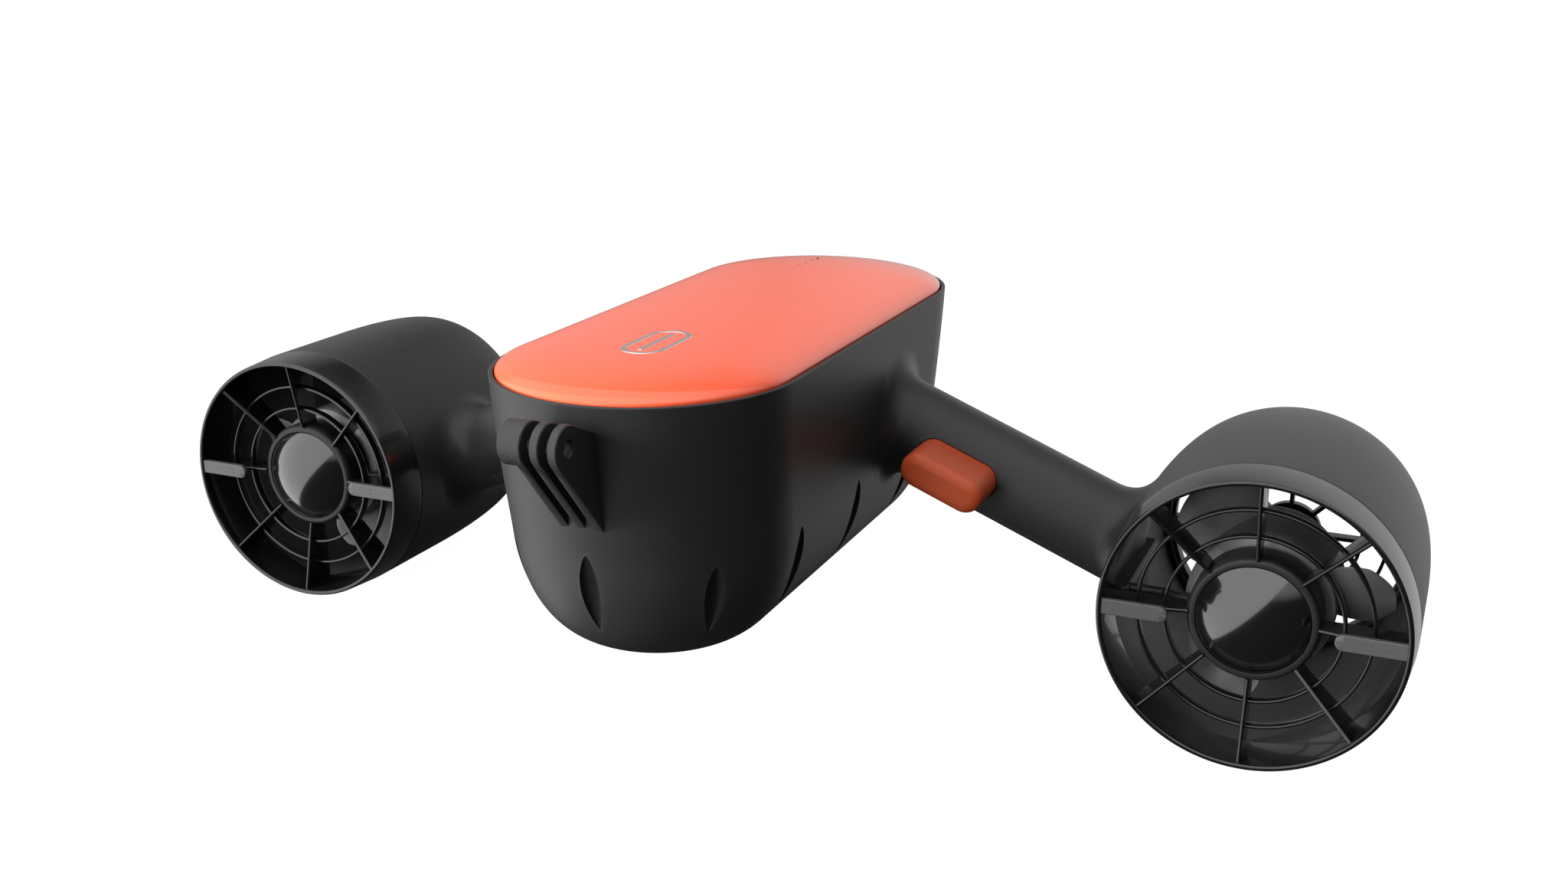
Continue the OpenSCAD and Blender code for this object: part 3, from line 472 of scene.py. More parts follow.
def make_materials():
    c = colours()
    return {
        "shell": moulded("shell_satin", tuple(c.shell), 0.40, 3800.0, 0.32, specular=0.30),
        "gloss_shell": moulded("guard_gloss", tuple(c.gloss), 0.24, 1500.0, 0.02, coat=0.45,
                               coat_rough=0.05, coat_ior=1.6),
        "dome": moulded("dome_gloss", tuple(c.gloss), 0.20, 1500.0, 0.02, coat=1.0,
                        coat_rough=0.02, coat_ior=1.7),
        "cover": moulded("cover_coral", tuple(c.cover), 0.38, 2600.0, 0.04, coat=0.9,
                         coat_rough=0.03, variation=0.03, edge=1.1),
        "satin": moulded("paddle_satin", (0.045, 0.045, 0.046), 0.42, 3600.0, 0.12),
        "hub": moulded("hub_satin", (0.014, 0.014, 0.0143), 0.36, 1500.0, 0.05, specular=0.3),
        "trigger": moulded("trigger_orange", tuple(c.trigger), 0.42, 3600.0, 0.10, variation=0.06,
                           edge=1.2, specular=0.35),
        "inner_plastic": moulded("inner_plastic", (0.10, 0.10, 0.11), 0.5, 3000.0, 0.2),
        "propeller_plastic": moulded("propeller_matte", (0.17, 0.17, 0.171), 0.58, 2200.0, 0.7,
                                     specular=0.4),
        "steel": metal("screw_steel", (0.62, 0.62, 0.63), 0.28),
        "chrome": metal("emblem_chrome", (0.96, 0.96, 0.97), 0.24, (1.0, 12.0, 1.0), 400.0, 0.05),
        "brass": metal("nut_brass", (0.78, 0.58, 0.25), 0.26),
        "aluminium": metal("motor_aluminium", (0.60, 0.61, 0.63), 0.34, (1.0, 8.0, 1.0)),
        "winding": winding("stator_winding"),
        "seal": moulded("seal_rubber", (0.022, 0.022, 0.022), 0.62, 2400.0, 0.3),
        "cable": moulded("cable_jacket", (0.018, 0.018, 0.018), 0.5, 3000.0, 0.2),
        "lens": moulded("light_lens", (0.16, 0.05, 0.035), 0.2, 2000.0, 0.03, coat=0.6,
                        variation=0.04),
        "board": board_mask("board_mask"),
        "battery_wrap": moulded("battery_wrap", (0.06, 0.10, 0.2), 0.3, 900.0, 0.1, coat=0.3),
    }


MATERIALS = {}


# ---------- hull ----------

def stadium(r, y0, y1, z):
    """Rings of a stadium, one per level: a circle of radius r about the bow station y0 for the front
    half, one about the stern station y1 for the back half, and straight lines between them."""
    n_arc, n_side = 96, 60
    r, y0, y1, z = (np.asarray(v, float)[None] for v in (r, y0, y1, z))
    a = np.linspace(-np.pi, 0, n_arc, endpoint=False)
    t = np.linspace(0, 1, n_side, endpoint=False)
    c = np.concatenate([np.cos(a), np.ones(n_side), -np.cos(a), -np.ones(n_side)])[:, None]
    s = np.concatenate([np.sin(a), np.zeros(n_side), -np.sin(a), np.zeros(n_side)])[:, None]
    b = np.concatenate([np.zeros(n_arc), t, np.ones(n_arc), 1 - t])[:, None]
    x = r * c
    return np.stack([x, y0 + b * (y1 - y0) + r * s, np.broadcast_to(z, x.shape)], -1)


def wall_levels(inset, count):
    """Radius, bow and stern stations and height from the rim to the keel. Down to the shoulder the
    radius falls evenly and the arc centres close in with the 1.5th power of the depth; below it the
    radius is cos^0.51 and the depth sin^1.27 of one angle. A short running mean eases the shoulder."""
    t = np.linspace(0, 1, count // 2)
    a = np.linspace(0, np.pi / 2, count - count // 2)[1:]
    upper = np.stack([HULL_R - 2.4 * t, BOW_Y + 5.35 * t ** 1.5, STERN_Y - 7.7 * t ** 1.5,
                      RIM_Z - 54.5 * t])
    down = 40.95 * np.sin(a) ** (2 / 1.57)
    lower = np.stack([SHOULDER_R * np.cos(a) ** (2 / 3.9), np.full_like(a, SHOULDER_BOW),
                      np.full_like(a, SHOULDER_STERN), SHOULDER_Z - down])
    levels = np.concatenate([upper, lower], 1)
    path = np.concatenate([[0], np.cumsum(np.hypot(*np.diff(levels[[0, 3]], axis=1)))])
    even = np.linspace(0, path[-1], 4 * count)
    fine = np.stack([np.interp(even, path, row) for row in levels])
    width = 13
    window = np.ones(2 * width + 1) / (2 * width + 1)
    eased = np.stack([np.convolve(np.pad(row, width, mode="edge"), window, "valid") for row in fine])
    near = np.exp(-((even - even[np.argmin(abs(fine[3] - SHOULDER_Z))]) / 16.0) ** 2)
    out = fine + (eased - fine) * near
    pick = np.interp(np.linspace(0, 1, count), np.linspace(0, 1, 4 * count), even)
    out = np.stack([np.interp(pick, even, row) for row in out])
    out[0] = np.maximum(out[0] - inset, 0.0)
    out[3] = np.maximum(out[3], KEEL_Z + inset)
    out[0, -1] = 0.0
    return out


def wall_x(z):
    """Half width of the hull's straight side at a height."""
    levels = wall_levels(0.0, 400)
    return np.interp(z, levels[3][::-1], levels[0][::-1])


def flute(base_y, turn, top, foot):
    """A leaf-shaped cutter whose axis runs between two points of the wall, given as (distance out,
    height): half width and depth follow sin^0.8 along it, and its outer half stands well clear."""
    width, depth = mm(sizes().flute_width), mm(sizes().flute_depth)
    t = np.linspace(0, 1, 64)
    leaf = np.sin(np.pi * t ** 0.85) ** 0.8
    a = np.linspace(0, 2 * np.pi, 40, endpoint=False)
    across = width * leaf * np.cos(a)[:, None]
    down = np.sin(a)[:, None]
    out = np.where(down > 0, 7.0 * down * np.sqrt(leaf), depth * leaf * down)
    line = np.asarray(top, float) + t[:, None] * (np.asarray(foot, float) - top)
    p = np.stack([across, -(line[:, 0] + out), np.broadcast_to(line[:, 1], out.shape)], -1)
    k = math.radians(turn)
    c, s = math.cos(k), math.sin(k)
    x, y = p[..., 0], p[..., 1]
    return capped(np.stack([x * c - y * s, x * s + y * c + base_y, p[..., 2]], -1))


class SCOOTER_OT_hull(bpy.types.Operator):
    """Hull tub: wall, rounded rim, seats for the cover, flutes and the battery opening"""
    bl_idname = "scooter.hull"
    bl_label = "Hull"

    def execute(self, context):
        rim = mm(sizes().rim_width)
        r, y0, y1, z = wall_levels(0.0, 110)
        low = z < RIM_Z - 0.8
        r, y0, y1, z = r[low], y0[low], y1[low], z[low]
        # the rim's section: rounded over the top, then down over the seats of the cover and its plate
        top = rounded([(52.22, 78.9), (HULL_R, RIM_Z), (HULL_R - rim, RIM_Z), (HULL_R - rim, 76.2),
                       (48.0, 76.2), (48.0, 68.0), (41.0, 68.0), (41.0, 62.0), (47.0, 62.0)],
                      [0, 0.55, 0.35, 0.1, 0.1, 0.1, 0.1, 0.1, 0], 5, False)
        inner = wall_levels(4.8, 34)
        inner = inner[:, inner[3] < 61.0]
        rows = [np.concatenate([v[::-1], w, u]) for v, w, u in (
            (r, top[:, 0], inner[0]), (y0, np.full(len(top), BOW_Y), inner[1]),
            (y1, np.full(len(top), STERN_Y), inner[2]), (z, top[:, 1], inner[3]))]
        hull = mesh_piece("hull_shell", [sheet_of(stadium(*rows))], "shell", replaces=["hull_tub"])
        nose = (50.3, 28.5), (42.6, 0.0)
        bow = (50.1, 24.6), (41.9, -1.2)
        flank = (50.2, 27.0), (40.8, -3.5)
        flutes = [flute(SHOULDER_BOW, t, *(bow if t else nose)) for t in (-48.5, 0.0, 48.5)]
        flutes += [flute(SHOULDER_STERN, 180 + t, *bow) for t in (-48.5, 48.5)]
        flutes += [flute(y, m * 90, *flank) for m in (-1, 1) for y in (-34.5, 18.0, 74.0)]
        opening = revolve([(0, 110), (30.5, 110), (30.5, 175), (0, 175)], 128, False)
        opening = moved(opening, (0, 0, BATTERY_Z))
        cut(hull, [solid_object("cutter", x, tool=True) for x in (flutes, [opening])], 30.0)
        return {"FINISHED"}


def cover_size():
    """Half width of the cover and the height of its crown."""
    return HULL_R - mm(sizes().rim_width) - mm(sizes().cover_gap), mm(sizes().crown)


def stern_fall(y, rise, crown):
    """How far the crown dips towards the stern: with the square of the distance past a station, in
    proportion to the rise above the rim."""
    back = np.clip((y - 60.0) / 90.0, 0, 1) ** 2
    return 0.9 * back * np.clip(rise / crown, 0, 1)


class SCOOTER_OT_cover(bpy.types.Operator):
    """Top cover: a low crown whose edge rolls down into the gap inside the rim"""
    bl_idname = "scooter.cover"
    bl_label = "Cover"

    def execute(self, context):
        radius, crown = cover_size()
        a = np.linspace(0, np.pi / 2, 64)
        r = np.concatenate([[0, 20, radius - 2, radius - 0.4, radius], radius * np.cos(a) ** 0.8])
        z = np.concatenate([np.full(4, 76.4), [76.7], RIM_Z - 0.1 + crown * np.sin(a) ** 0.86])
        r[-1] = 0.0
        points = stadium(r, np.full_like(r, BOW_Y), np.full_like(r, STERN_Y), z)
        points[..., 2] -= stern_fall(points[..., 1], points[..., 2] - RIM_Z, crown)
        mesh_piece("cover_shell", [sheet_of(points)], "cover", replaces=["top_cover"], smooth=60.0)
        return {"FINISHED"}


def cover_height(x, y):
    """Height of the cover's crown at a station, by the cover's own formula."""
    radius, crown = cover_size()
    a = np.arccos(np.clip(abs(np.asarray(x, float)) / radius, 0, 1) ** 1.25)
    rise = crown * np.sin(a) ** 0.86
    return RIM_Z - 0.1 + rise - stern_fall(np.asarray(y, float), rise - 0.1, crown)


def raised(outline, lift):
    """A flat outline set at a height over the cover's crown."""
    x, y = outline.T
    return np.stack([x, y, cover_height(x, y) + lift], -1)


def draped(outline, lift, depth, ease=0.12):
    """A flat outline laid on the cover: its side walls follow the crown, its top is eased in."""
    o = np.asarray(outline, float)
    middle = o.mean(0)
    shrink = middle + (o - middle) * (1 - ease / np.abs(o - middle).max())
    levels = (shrink, -depth), (o, -depth), (o, lift - ease), (shrink, lift)
    return capped(np.stack([raised(flat, rise) for flat, rise in levels], 1))


class SCOOTER_OT_emblem(bpy.types.Operator):
    """Plain bright inlay in the cover: a pill-shaped ring with a bar along its middle"""
    bl_idname = "scooter.emblem"
    bl_label = "Emblem"

    def execute(self, context):
        def ring(radius):
            o = pill(radius, 9.0, 40)
            return np.stack([o[:, 1], o[:, 0] - 40.0], -1)

        levels = [(7.6, -0.5), (7.6, 0.02), (7.45, 0.14), (6.05, 0.14), (5.9, 0.02), (5.9, -0.5)]
        shapes = [sheet_of(np.stack([raised(ring(r), lift) for r, lift in levels], 1), True, True)]
        bar = rounded([(-0.8, -52.0), (0.8, -52.0), (0.8, -28.0), (-0.8, -28.0)], 0.7)
        shapes.append(draped(bar, 0.14, 0.5))
        mesh_piece("emblem_inlay", shapes, "chrome", replaces=["emblem"])
        return {"FINISHED"}


class SCOOTER_OT_lights(bpy.types.Operator):
    """Row of small domed indicator lenses along the cover"""
    bl_idname = "scooter.lights"
    bl_label = "Indicator lights"

    def execute(self, context):
        a = np.linspace(0, 2 * np.pi, 24, endpoint=False)
        shapes = []
        for y in (88.4, 101.4, 107.7, 114.0, 120.3):
            outline = np.stack([-9.0 + 0.75 * np.cos(a), y + 0.75 * np.sin(a)], -1)
            shapes.append(draped(outline, 0.12, 0.6, 0.25))
        mesh_piece("indicator_lenses", shapes, "lens", replaces=["indicator_lights"])
        return {"FINISHED"}


# ---------- camera mount ----------

def finger_outline():
    """Side outline of a finger: the tip circle joined by tangents to two points inside the hull."""
    tip = 7.2
    high, low = np.array([-92.5, 69.6]), np.array([-90.5, 36.0])

    def touch(point, turn):
        way = point - PIVOT
        return math.atan2(way[1], way[0]) + turn * math.acos(tip / np.linalg.norm(way))

    a = np.linspace(touch(high, 1.0), touch(low, -1.0) + 2 * math.pi, 40)
    circle = PIVOT + tip * np.stack([np.cos(a), np.sin(a)], -1)
    t = np.linspace(0, 1, 8)[1:-1, None]
    return np.concatenate([circle, circle[-1] + t * (low - circle[-1]), [low],
                           low + t * (high - low), [high], high + t * (circle[0] - high)])


def finger(x0, x1):
    """A flat finger between two X planes with a pivot bore and softened edges."""
    outline = finger_outline()
    out = outline - PIVOT
    a = np.arctan2(out[:, 1], out[:, 0])
    hole = PIVOT + BORE_R * np.stack([np.cos(a), np.sin(a)], -1)
    ease = 0.35
    inner = PIVOT + out * (1 - ease / np.linalg.norm(out, axis=1))[:, None]
    wide = PIVOT + (hole - PIVOT) * (1 + ease / BORE_R)
    rings = [(outline, x0 + ease), (outline, x1 - ease), (inner, x1), (wide, x1), (hole, x1 - ease),
             (hole, x0 + ease), (wide, x0), (inner, x0)]
    points = np.stack([np.concatenate([np.full((len(p), 1), x), p], 1) for p, x in rings], 1)
    return sheet_of(points, True, True)


class SCOOTER_OT_camera_mount(bpy.types.Operator):
    """Three camera mount fingers with a pivot bore, and a boss for the nut"""
    bl_idname = "scooter.camera_mount"
    bl_label = "Camera mount"

    def execute(self, context):
        half = mm(sizes().finger) / 2
        shapes = [finger(k * FINGER_PITCH - half, k * FINGER_PITCH + half) for k in (-1, 0, 1)]
        n = 96
        a = np.linspace(0, 2 * np.pi, n, endpoint=False)
        hexagon = 4.7 * math.cos(math.pi / 6) / np.cos((a + np.pi / 6) % (np.pi / 3) - np.pi / 6)
        face, back = -FINGER_PITCH - half - 5.0, -FINGER_PITCH - half + 0.3
        floor = face + 4.0
        rings = [(7.0, back), (7.0, face + 0.4), (6.6, face), (hexagon + 0.3, face),
                 (hexagon, face + 0.3), (hexagon, floor), (BORE_R, floor), (BORE_R, back)]
        c, s = np.cos(a), np.sin(a)
        points = [np.stack([np.full(n, x), PIVOT[0] + r * c, PIVOT[1] + r * s], -1) for r, x in rings]
        shapes.append(sheet_of(np.stack(points, 1), True, True))
        mesh_piece("mount_fingers", shapes, "shell", replaces=["camera_mount"])
        return {"FINISHED"}


# ---------- handles ----------

def handle_surface():
    """The right handle in stations: along each line of the tube, an arc from the hull's wall, the
    straight tube and an arc onto the duct. Each arc is a quadratic curve from the wall through the
    corner where line and wall would meet to a point on the tube a fillet's reach away."""
    radius = mm(sizes().arm_radius)
    n = 160
    a = np.linspace(0, 2 * np.pi, n, endpoint=False)
    ring = np.stack([np.zeros(n), radius * np.cos(a), radius * np.sin(a)], -1)

    def line(s):
        return from_arm(ring + np.stack([s, np.zeros(n), np.zeros(n)], -1))

    s = np.zeros(n)
    for _ in range(12):
        p = line(s)
        s = s + (wall_x(p[:, 2]) - p[:, 0]) / math.cos(DROOP)
    corner = line(s)
    # root: out along the wall from the corner, away from the handle's axis
    out = np.stack([np.cos(a), np.sin(a)], -1)
    root = mm(sizes().root_fillet)
    foot = corner.copy()
    foot[:, 1] += out[:, 0] * root
    foot[:, 2] += out[:, 1] * root
    foot[:, 0] = wall_x(foot[:, 2])
    onto = line(s + root)
    t = np.linspace(0, 1, 18)[:, None, None]
    near = (1 - t) ** 2 * foot + 2 * t * (1 - t) * corner + t ** 2 * onto
    sunk = foot - (1.2, 0, 0)
    # tip: the same onto the duct, whose wall is a cylinder about the duct's axis
    s2 = np.full(n, 100.0)
    for _ in range(30):
        p = line(s2)
        reach = np.hypot(p[:, 0] - DUCT_X, p[:, 2])
        s2 = s2 + (reach - duct_radius(p[:, 1])) * 0.8
    corner2 = line(s2)
    tip = mm(sizes().tip_fillet)
    angle = np.arctan2(corner2[:, 2], corner2[:, 0] - DUCT_X)
    y = corner2[:, 1] + out[:, 0] * tip
    angle2 = angle - out[:, 1] * tip / DUCT_R
    d = duct_radius(y)

    def on_duct(radius):
        return np.stack([DUCT_X + radius * np.cos(angle2), y, radius * np.sin(angle2)], -1)

    foot2 = on_duct(d)
    leave = line(s2 - tip)
    far = (1 - t) ** 2 * leave + 2 * t * (1 - t) * corner2 + t ** 2 * foot2
    sunk2 = on_duct(d - 1.0)
    u = np.linspace(0, 1, 40)[1:-1, None, None]
    middle = onto + u * (leave - onto)
    rows = np.concatenate([sunk[None], near, middle, far, sunk2[None]])
    return capped(rows.transpose(1, 0, 2))


def duct_radius(y):
    """Outside radius of a duct at a station: the flare, the straight part and the tapering tail."""
    tail = np.clip((np.asarray(y, float) - TAIL_Y) / TAIL_LENGTH, 0, 1)
    return np.interp(y, [0, 16.4], [50.0, DUCT_R]) - TAIL_CLOSE * (1 - np.sqrt(1 - tail ** 2))


def arm_turned(shape):
    """A shape drawn along Y about the handle's own axis X, carried into stations."""
    return from_arm(shape[0]), shape[1]


def along_arm(profile):
    """Turns (radius, distance) points about the handle's axis."""
    points, quads = revolve(profile, 96, False)
    return from_arm(points[:, [1, 0, 2]]), quads


class SCOOTER_OT_handles(bpy.types.Operator):
    """Hollow handles with fillets at both ends, the trigger's slot and the underside opening"""
    bl_idname = "scooter.handles"
    bl_label = "Handles"

    def execute(self, context):
        surface = handle_surface()
        bore = along_arm([(0, 4.0), (13.5, 4.0), (13.5, 92.0), (0, 92.0)])
        slot = moved(stack([pill(6.9, TRIGGER_HALF)] * 2, [-40, -4]), (TRIGGER_X, 0, 0))
        hatch = block((45.8, -20, -20), (87.2, 20, -10.3), 0.02)
        for side in SIDES:
            handle = side_piece("handle", side, [surface], "shell", at_side, "arm")
            cut(handle, [solid_object("cutter", [x], lambda p: at_side(p, side), tool=True)
                         for x in (bore, arm_turned(slot), arm_turned(hatch))], 32.0)
        return {"FINISHED"}


class SCOOTER_OT_triggers(bpy.types.Operator):
    """Pill-shaped triggers whose front edge is rolled over all round"""
    bl_idname = "scooter.triggers"
    bl_label = "Triggers"

    def execute(self, context):
        roll = 3.7
        a = np.linspace(0, np.pi / 2, 14)
        front = 20.0 - ARM_ROOT[1]
        inset = roll * (1 - np.sin(a))
        levels = [(6.5 - i, TRIGGER_HALF, front + roll * (1 - math.cos(k)))
                  for i, k in zip(inset, a)]
        back = 46.6 - ARM_ROOT[1]
        levels += [(6.5, TRIGGER_HALF, back), (7.6, 10.2, back), (7.8, 10.2, back + 0.3),
                   (7.8, 10.2, back + 2.5)]
        shape = stack([pill(r, h) for r, h, _ in levels], [y for *_, y in levels])
        shape = arm_turned(moved(shape, (TRIGGER_X, 0, 0)))
        for side in SIDES:
            side_piece("trigger_button", side, [shape], "trigger", at_side, "trigger",
                       body=f"trigger_{side}", smooth=50.0)
        return {"FINISHED"}


class SCOOTER_OT_trigger_springs(bpy.types.Operator):
    """Return springs, each given a mesh of its own"""
    bl_idname = "scooter.trigger_springs"
    bl_label = "Trigger springs"

    def execute(self, context):
        for side in SIDES:
            spring = frame["nodes"][f"trigger_spring_{side}"]
            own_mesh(spring)
        return {"FINISHED"}


# ---------- ducts and guards ----------

class SCOOTER_OT_ducts(bpy.types.Operator):
    """Duct walls with a rounded tail, and the cable's conduit inside"""
    bl_idname = "scooter.ducts"
    bl_label = "Ducts"

    def execute(self, context):
        a = np.linspace(0, np.pi / 2, 26)
        outer = np.stack([DUCT_R - TAIL_CLOSE * (1 - np.cos(a)),
                          TAIL_Y + TAIL_LENGTH * np.sin(a)], -1)
        inner = outer[::-1] - (3.65, 0)
        inner = inner[inner[:, 1] < 98.0]
        profile = np.concatenate([
            rounded([(47.5, 16.6), (51.05, 16.6), (DUCT_R, 17.4)], [0, 0.35, 0], 4, False),
            outer[:-2],
            rounded([outer[-2], (46.1, 103.9), (44.5, 103.9), (44.1, 98.0), (inner[0][0], 98.0)],
                    [0, 0.6, 0.3, 0.1, 0], 5, False)[1:], inner])
        wall = revolve(profile, 192)
        ring = pill(0.9, 1.6, 14)
        y = np.array([17.0, 17.8, 68.0, 70.0])
        k = np.array([0.6, 1.0, 1.0, 0.3])[:, None, None]
        conduit = stack(ring[None] * k * (1.6, 1.7) + (-46.6, 0), y)
        for side in SIDES:
            side_piece("duct_wall", side, [wall, conduit], "shell", node="duct")
        return {"FINISHED"}


def spoke_blade(r0, r1, front0, front1, back, width):
    """A blade from radius r0 to r1: a thin rounded section whose front edge runs from station front0
    to front1 while its back edge stays put."""
    n = 24
    a = np.linspace(-np.pi / 2, np.pi / 2, 9)
    t = np.linspace(0, 1, n)
    front = front0 + (front1 - front0) * t
    half = width / 2
    nose = np.stack([-np.cos(a), np.sin(a)], -1) * half
    y = np.concatenate([front[:, None] + half + nose[:, 0], np.repeat([[back, back]], n, 0)], 1)
    z = np.broadcast_to(np.concatenate([nose[:, 1], [half, -half]]), y.shape)
    x = np.broadcast_to((r0 + (r1 - r0) * t)[:, None], y.shape)
    return capped(np.stack([x, y, z], -1).transpose(1, 0, 2))


def thin_ring(radius, front):
    """A thin band about the duct's axis, with rounded edges."""
    lo, hi = radius - THIN_RING_WIDTH / 2, radius + THIN_RING_WIDTH / 2
    back = front + THIN_RING_DEPTH
    return revolve(rounded([(lo, front), (hi, front), (hi, back), (lo, back)],
                           THIN_RING_WIDTH * 0.4, 4), 160)


class SCOOTER_OT_front_guards(bpy.types.Operator):
    """Front guards: gloss black flared ring, eight sloped spokes and two thin rings, with a satin hub
    and satin paddles
    """
    bl_idname = "scooter.front_guards"
    bl_label = "Front guards"

    def execute(self, context):
        width = mm(sizes().spoke)
        ring = revolve(rounded([(48.25, 0.0), (50.0, 0.0), (51.12, 16.1), (50.7, 16.6), (47.5, 16.6)],
                               [0.8, 0.8, 0.2, 0.05, 0.05], 7), 224)
        shapes = [ring, thin_ring(37.9, 7.6), thin_ring(28.8, 7.6)]
        hub = revolve(rounded([(18.72, 7.9), (20.6, 7.9), (21.6, 9.6), (21.6, 20.0), (7.5, 20.0),
                               (7.5, 16.0), (18.72, 16.0)],
                              [0.25, 0.9, 1.2, 0.3, 0.2, 0.2, 0.3], 7), 160)
        # the two level spokes stay lower in front, under the paddles
        spoke = spoke_blade(20.8, 48.6, 7.3, 0.9, 16.0, width)
        shapes += [turned(spoke, k * 2 * math.pi / SPOKES) for k in range(SPOKES)
                   if k % (SPOKES // 2)]
        level = spoke_blade(20.8, 48.6, 7.3, 2.2, 16.0, width)
        t = np.linspace(-np.pi / 2, np.pi / 2, 24)
        high = 2.7
        cap = np.stack([-high * np.cos(t), high * np.sin(t)], -1)
        outline = np.concatenate([cap + (26.4 + high, 0), [[48.7, high], [48.7, -high]]])
        middle = np.array([38.0, 0.0])
        eased = middle + (outline - middle) * (1 - 0.3 / np.array([10.0, high]))
        paddle = stack([eased, outline, outline, eased], [0.6, 0.85, 2.4, 2.65])
        marks = [moved(stack([pill(0.2, h, 8), pill(0.3, h, 8)], [0.45, 0.9]), (x, 0, z))
                 for x, z, h in ((35.0, 0.8, 2.6), (35.0, -0.8, 2.6), (41.0, 0.0, 1.2))]
        shapes += [turned(level, turn) for turn in (0.0, math.pi)]
        paddles = [turned(x, turn) for x in (paddle, *marks) for turn in (0.0, math.pi)]
        for side in SIDES:
            side_piece("guard_front", side, shapes, "gloss_shell", node="front_guard")
            side_piece("hub", side, [hub], "hub", slot="gloss_shell")
            side_piece("paddles", side, paddles, "satin", slot="gloss_shell")
        return {"FINISHED"}


class SCOOTER_OT_nose_domes(bpy.types.Operator):
    """Glossy domes over the motors: a ball's cap with a short skirt"""
    bl_idname = "scooter.nose_domes"
    bl_label = "Nose domes"

    def execute(self, context):
        rise = mm(sizes().dome)
        skirt, foot = 18.6, 8.2
        ball = (skirt ** 2 + rise ** 2) / (2 * rise)
        a = np.linspace(0, math.asin(18.35 / ball), 40)
        cap = np.stack([ball * np.sin(a), foot - rise + ball * (1 - np.cos(a))], -1)
        edge = cap[-1, 1]
        profile = np.concatenate([cap, [(18.55, edge + 0.2), (skirt, edge + 0.6), (skirt, 15.8),
                                        (17.1, 15.8), (17.0, 10.5), (0.0, 3.5)]])
        for side in SIDES:
            side_piece("dome", side, [revolve(profile, 160, False)], "dome", node="nose_dome",
                       slot="gloss_shell", smooth=50.0)
        return {"FINISHED"}


class SCOOTER_OT_rear_guards(bpy.types.Operator):
    """Rear guards: seated ring, eight spokes, two thin rings and a small hub"""
    bl_idname = "scooter.rear_guards"
    bl_label = "Rear guards"

    def execute(self, context):
        width = mm(sizes().spoke)
        ring = rounded([(42.2, 98.1), (43.9, 98.1), (43.9, 103.9), (42.2, 103.9)], 0.4)
        hub = rounded([(0, 97.2), (12.0, 97.2), (11.4, 103.2), (8.0, 104.2), (0, 104.3)],
                      [0, 0.5, 1.4, 1.2, 0], 6, False)
        # drawn facing the other way, then mirrored; the normals are worked out again afterwards
        points, quads = spoke_blade(10.0, 42.6, -103.6, -103.2, -98.2, width)
        spoke = points * (1, -1, 1), quads
        shapes = [revolve(ring, 192), thin_ring(34.9, 99.6), thin_ring(25.8, 99.6)]
        shapes += [turned(spoke, k * 2 * math.pi / SPOKES) for k in range(SPOKES)]
        shapes.append(revolve(hub, 128, False))
        for side in SIDES:
            side_piece("guard_rear", side, shapes, "shell", node="rear_guard")
        return {"FINISHED"}


# ---------- propellers ----------

def propeller_blade(pitch):
    """A broad blade: for each radius from the hub out, a thin section with a rounded nose and a thin
    tail whose chord swells and rounds off at the tip, turned to a pitch that eases off outwards."""
    t = np.linspace(0, 1, 40)
    radius = 21.0 + 21.2 * np.sin(t * np.pi / 2)
    swell = (radius - 31.0) / 14.5
    chord = 18.5 * np.sqrt(np.clip(1 - np.clip(swell, -0.55, 0.82) ** 2, 0.02, 1))
    chord = chord * np.sqrt(np.clip((43.0 - radius) / 6.0, 0.0, 1.0)) ** 0.8
    chord = np.maximum(chord, 0.35)
    a = np.linspace(0, 2 * np.pi, 44, endpoint=False)
    thick = (2.3 - 1.3 * t)[:, None] * np.minimum(1, chord / 4.0)[:, None]
    u = np.cos(a)[None] * chord[:, None]
    w = np.sin(a)[None] * thick / 2 * (1.15 + 0.35 * np.cos(a))[None]
    camber = 0.10 * chord[:, None] * (1 - np.cos(a)[None] ** 2)
    w = w - camber
    turn = (pitch + np.radians(9.0) * (0.5 - t))[:, None]
    sweep = 0.06 * (t ** 2)[:, None]
    across = u * np.cos(turn) - w * np.sin(turn)
    along = u * np.sin(turn) + w * np.cos(turn)
    angle = across / np.maximum(radius, 1)[:, None] + sweep
    x = radius[:, None] * np.sin(angle)
    z = radius[:, None] * np.cos(angle)
    return capped(np.stack([x, 38.0 + along, z], -1).transpose(1, 0, 2))


class SCOOTER_OT_propellers(bpy.types.Operator):
    """Propellers: a hollow textured hub and broad rounded blades"""
    bl_idname = "scooter.propellers"
    bl_label = "Propellers"

    def execute(self, context):
        a = np.radians(np.linspace(0, 82, 14))
        nose = np.stack([24.5 - 13.0 * (1 - np.cos(a)), 52.5 + 13.5 * np.sin(a)], -1)
        profile = np.concatenate([rounded([(20.1, 49.0), (20.1, 22.5), (24.5, 22.5), (24.5, 40.0)],
                                          [0.2, 0.5, 1.2, 0], 6, False), nose,
                                  [(8.5, 66.0), (6.5, 65.6), (6.5, 54.0), (2.5, 54.0), (2.5, 49.0)]])
        count = sizes().blades
        blade = propeller_blade(sizes().pitch)
        shapes = [revolve(profile, 160)]
        shapes += [turned(blade, 2 * math.pi * k / count + BLADE_TURN) for k in range(count)]
        for side in SIDES:
            side_piece("screw", side, shapes, "propeller_plastic", node="propeller",
                       body=f"propeller_{side}", smooth=40.0)
        return {"FINISHED"}


# ---------- battery cap ----------

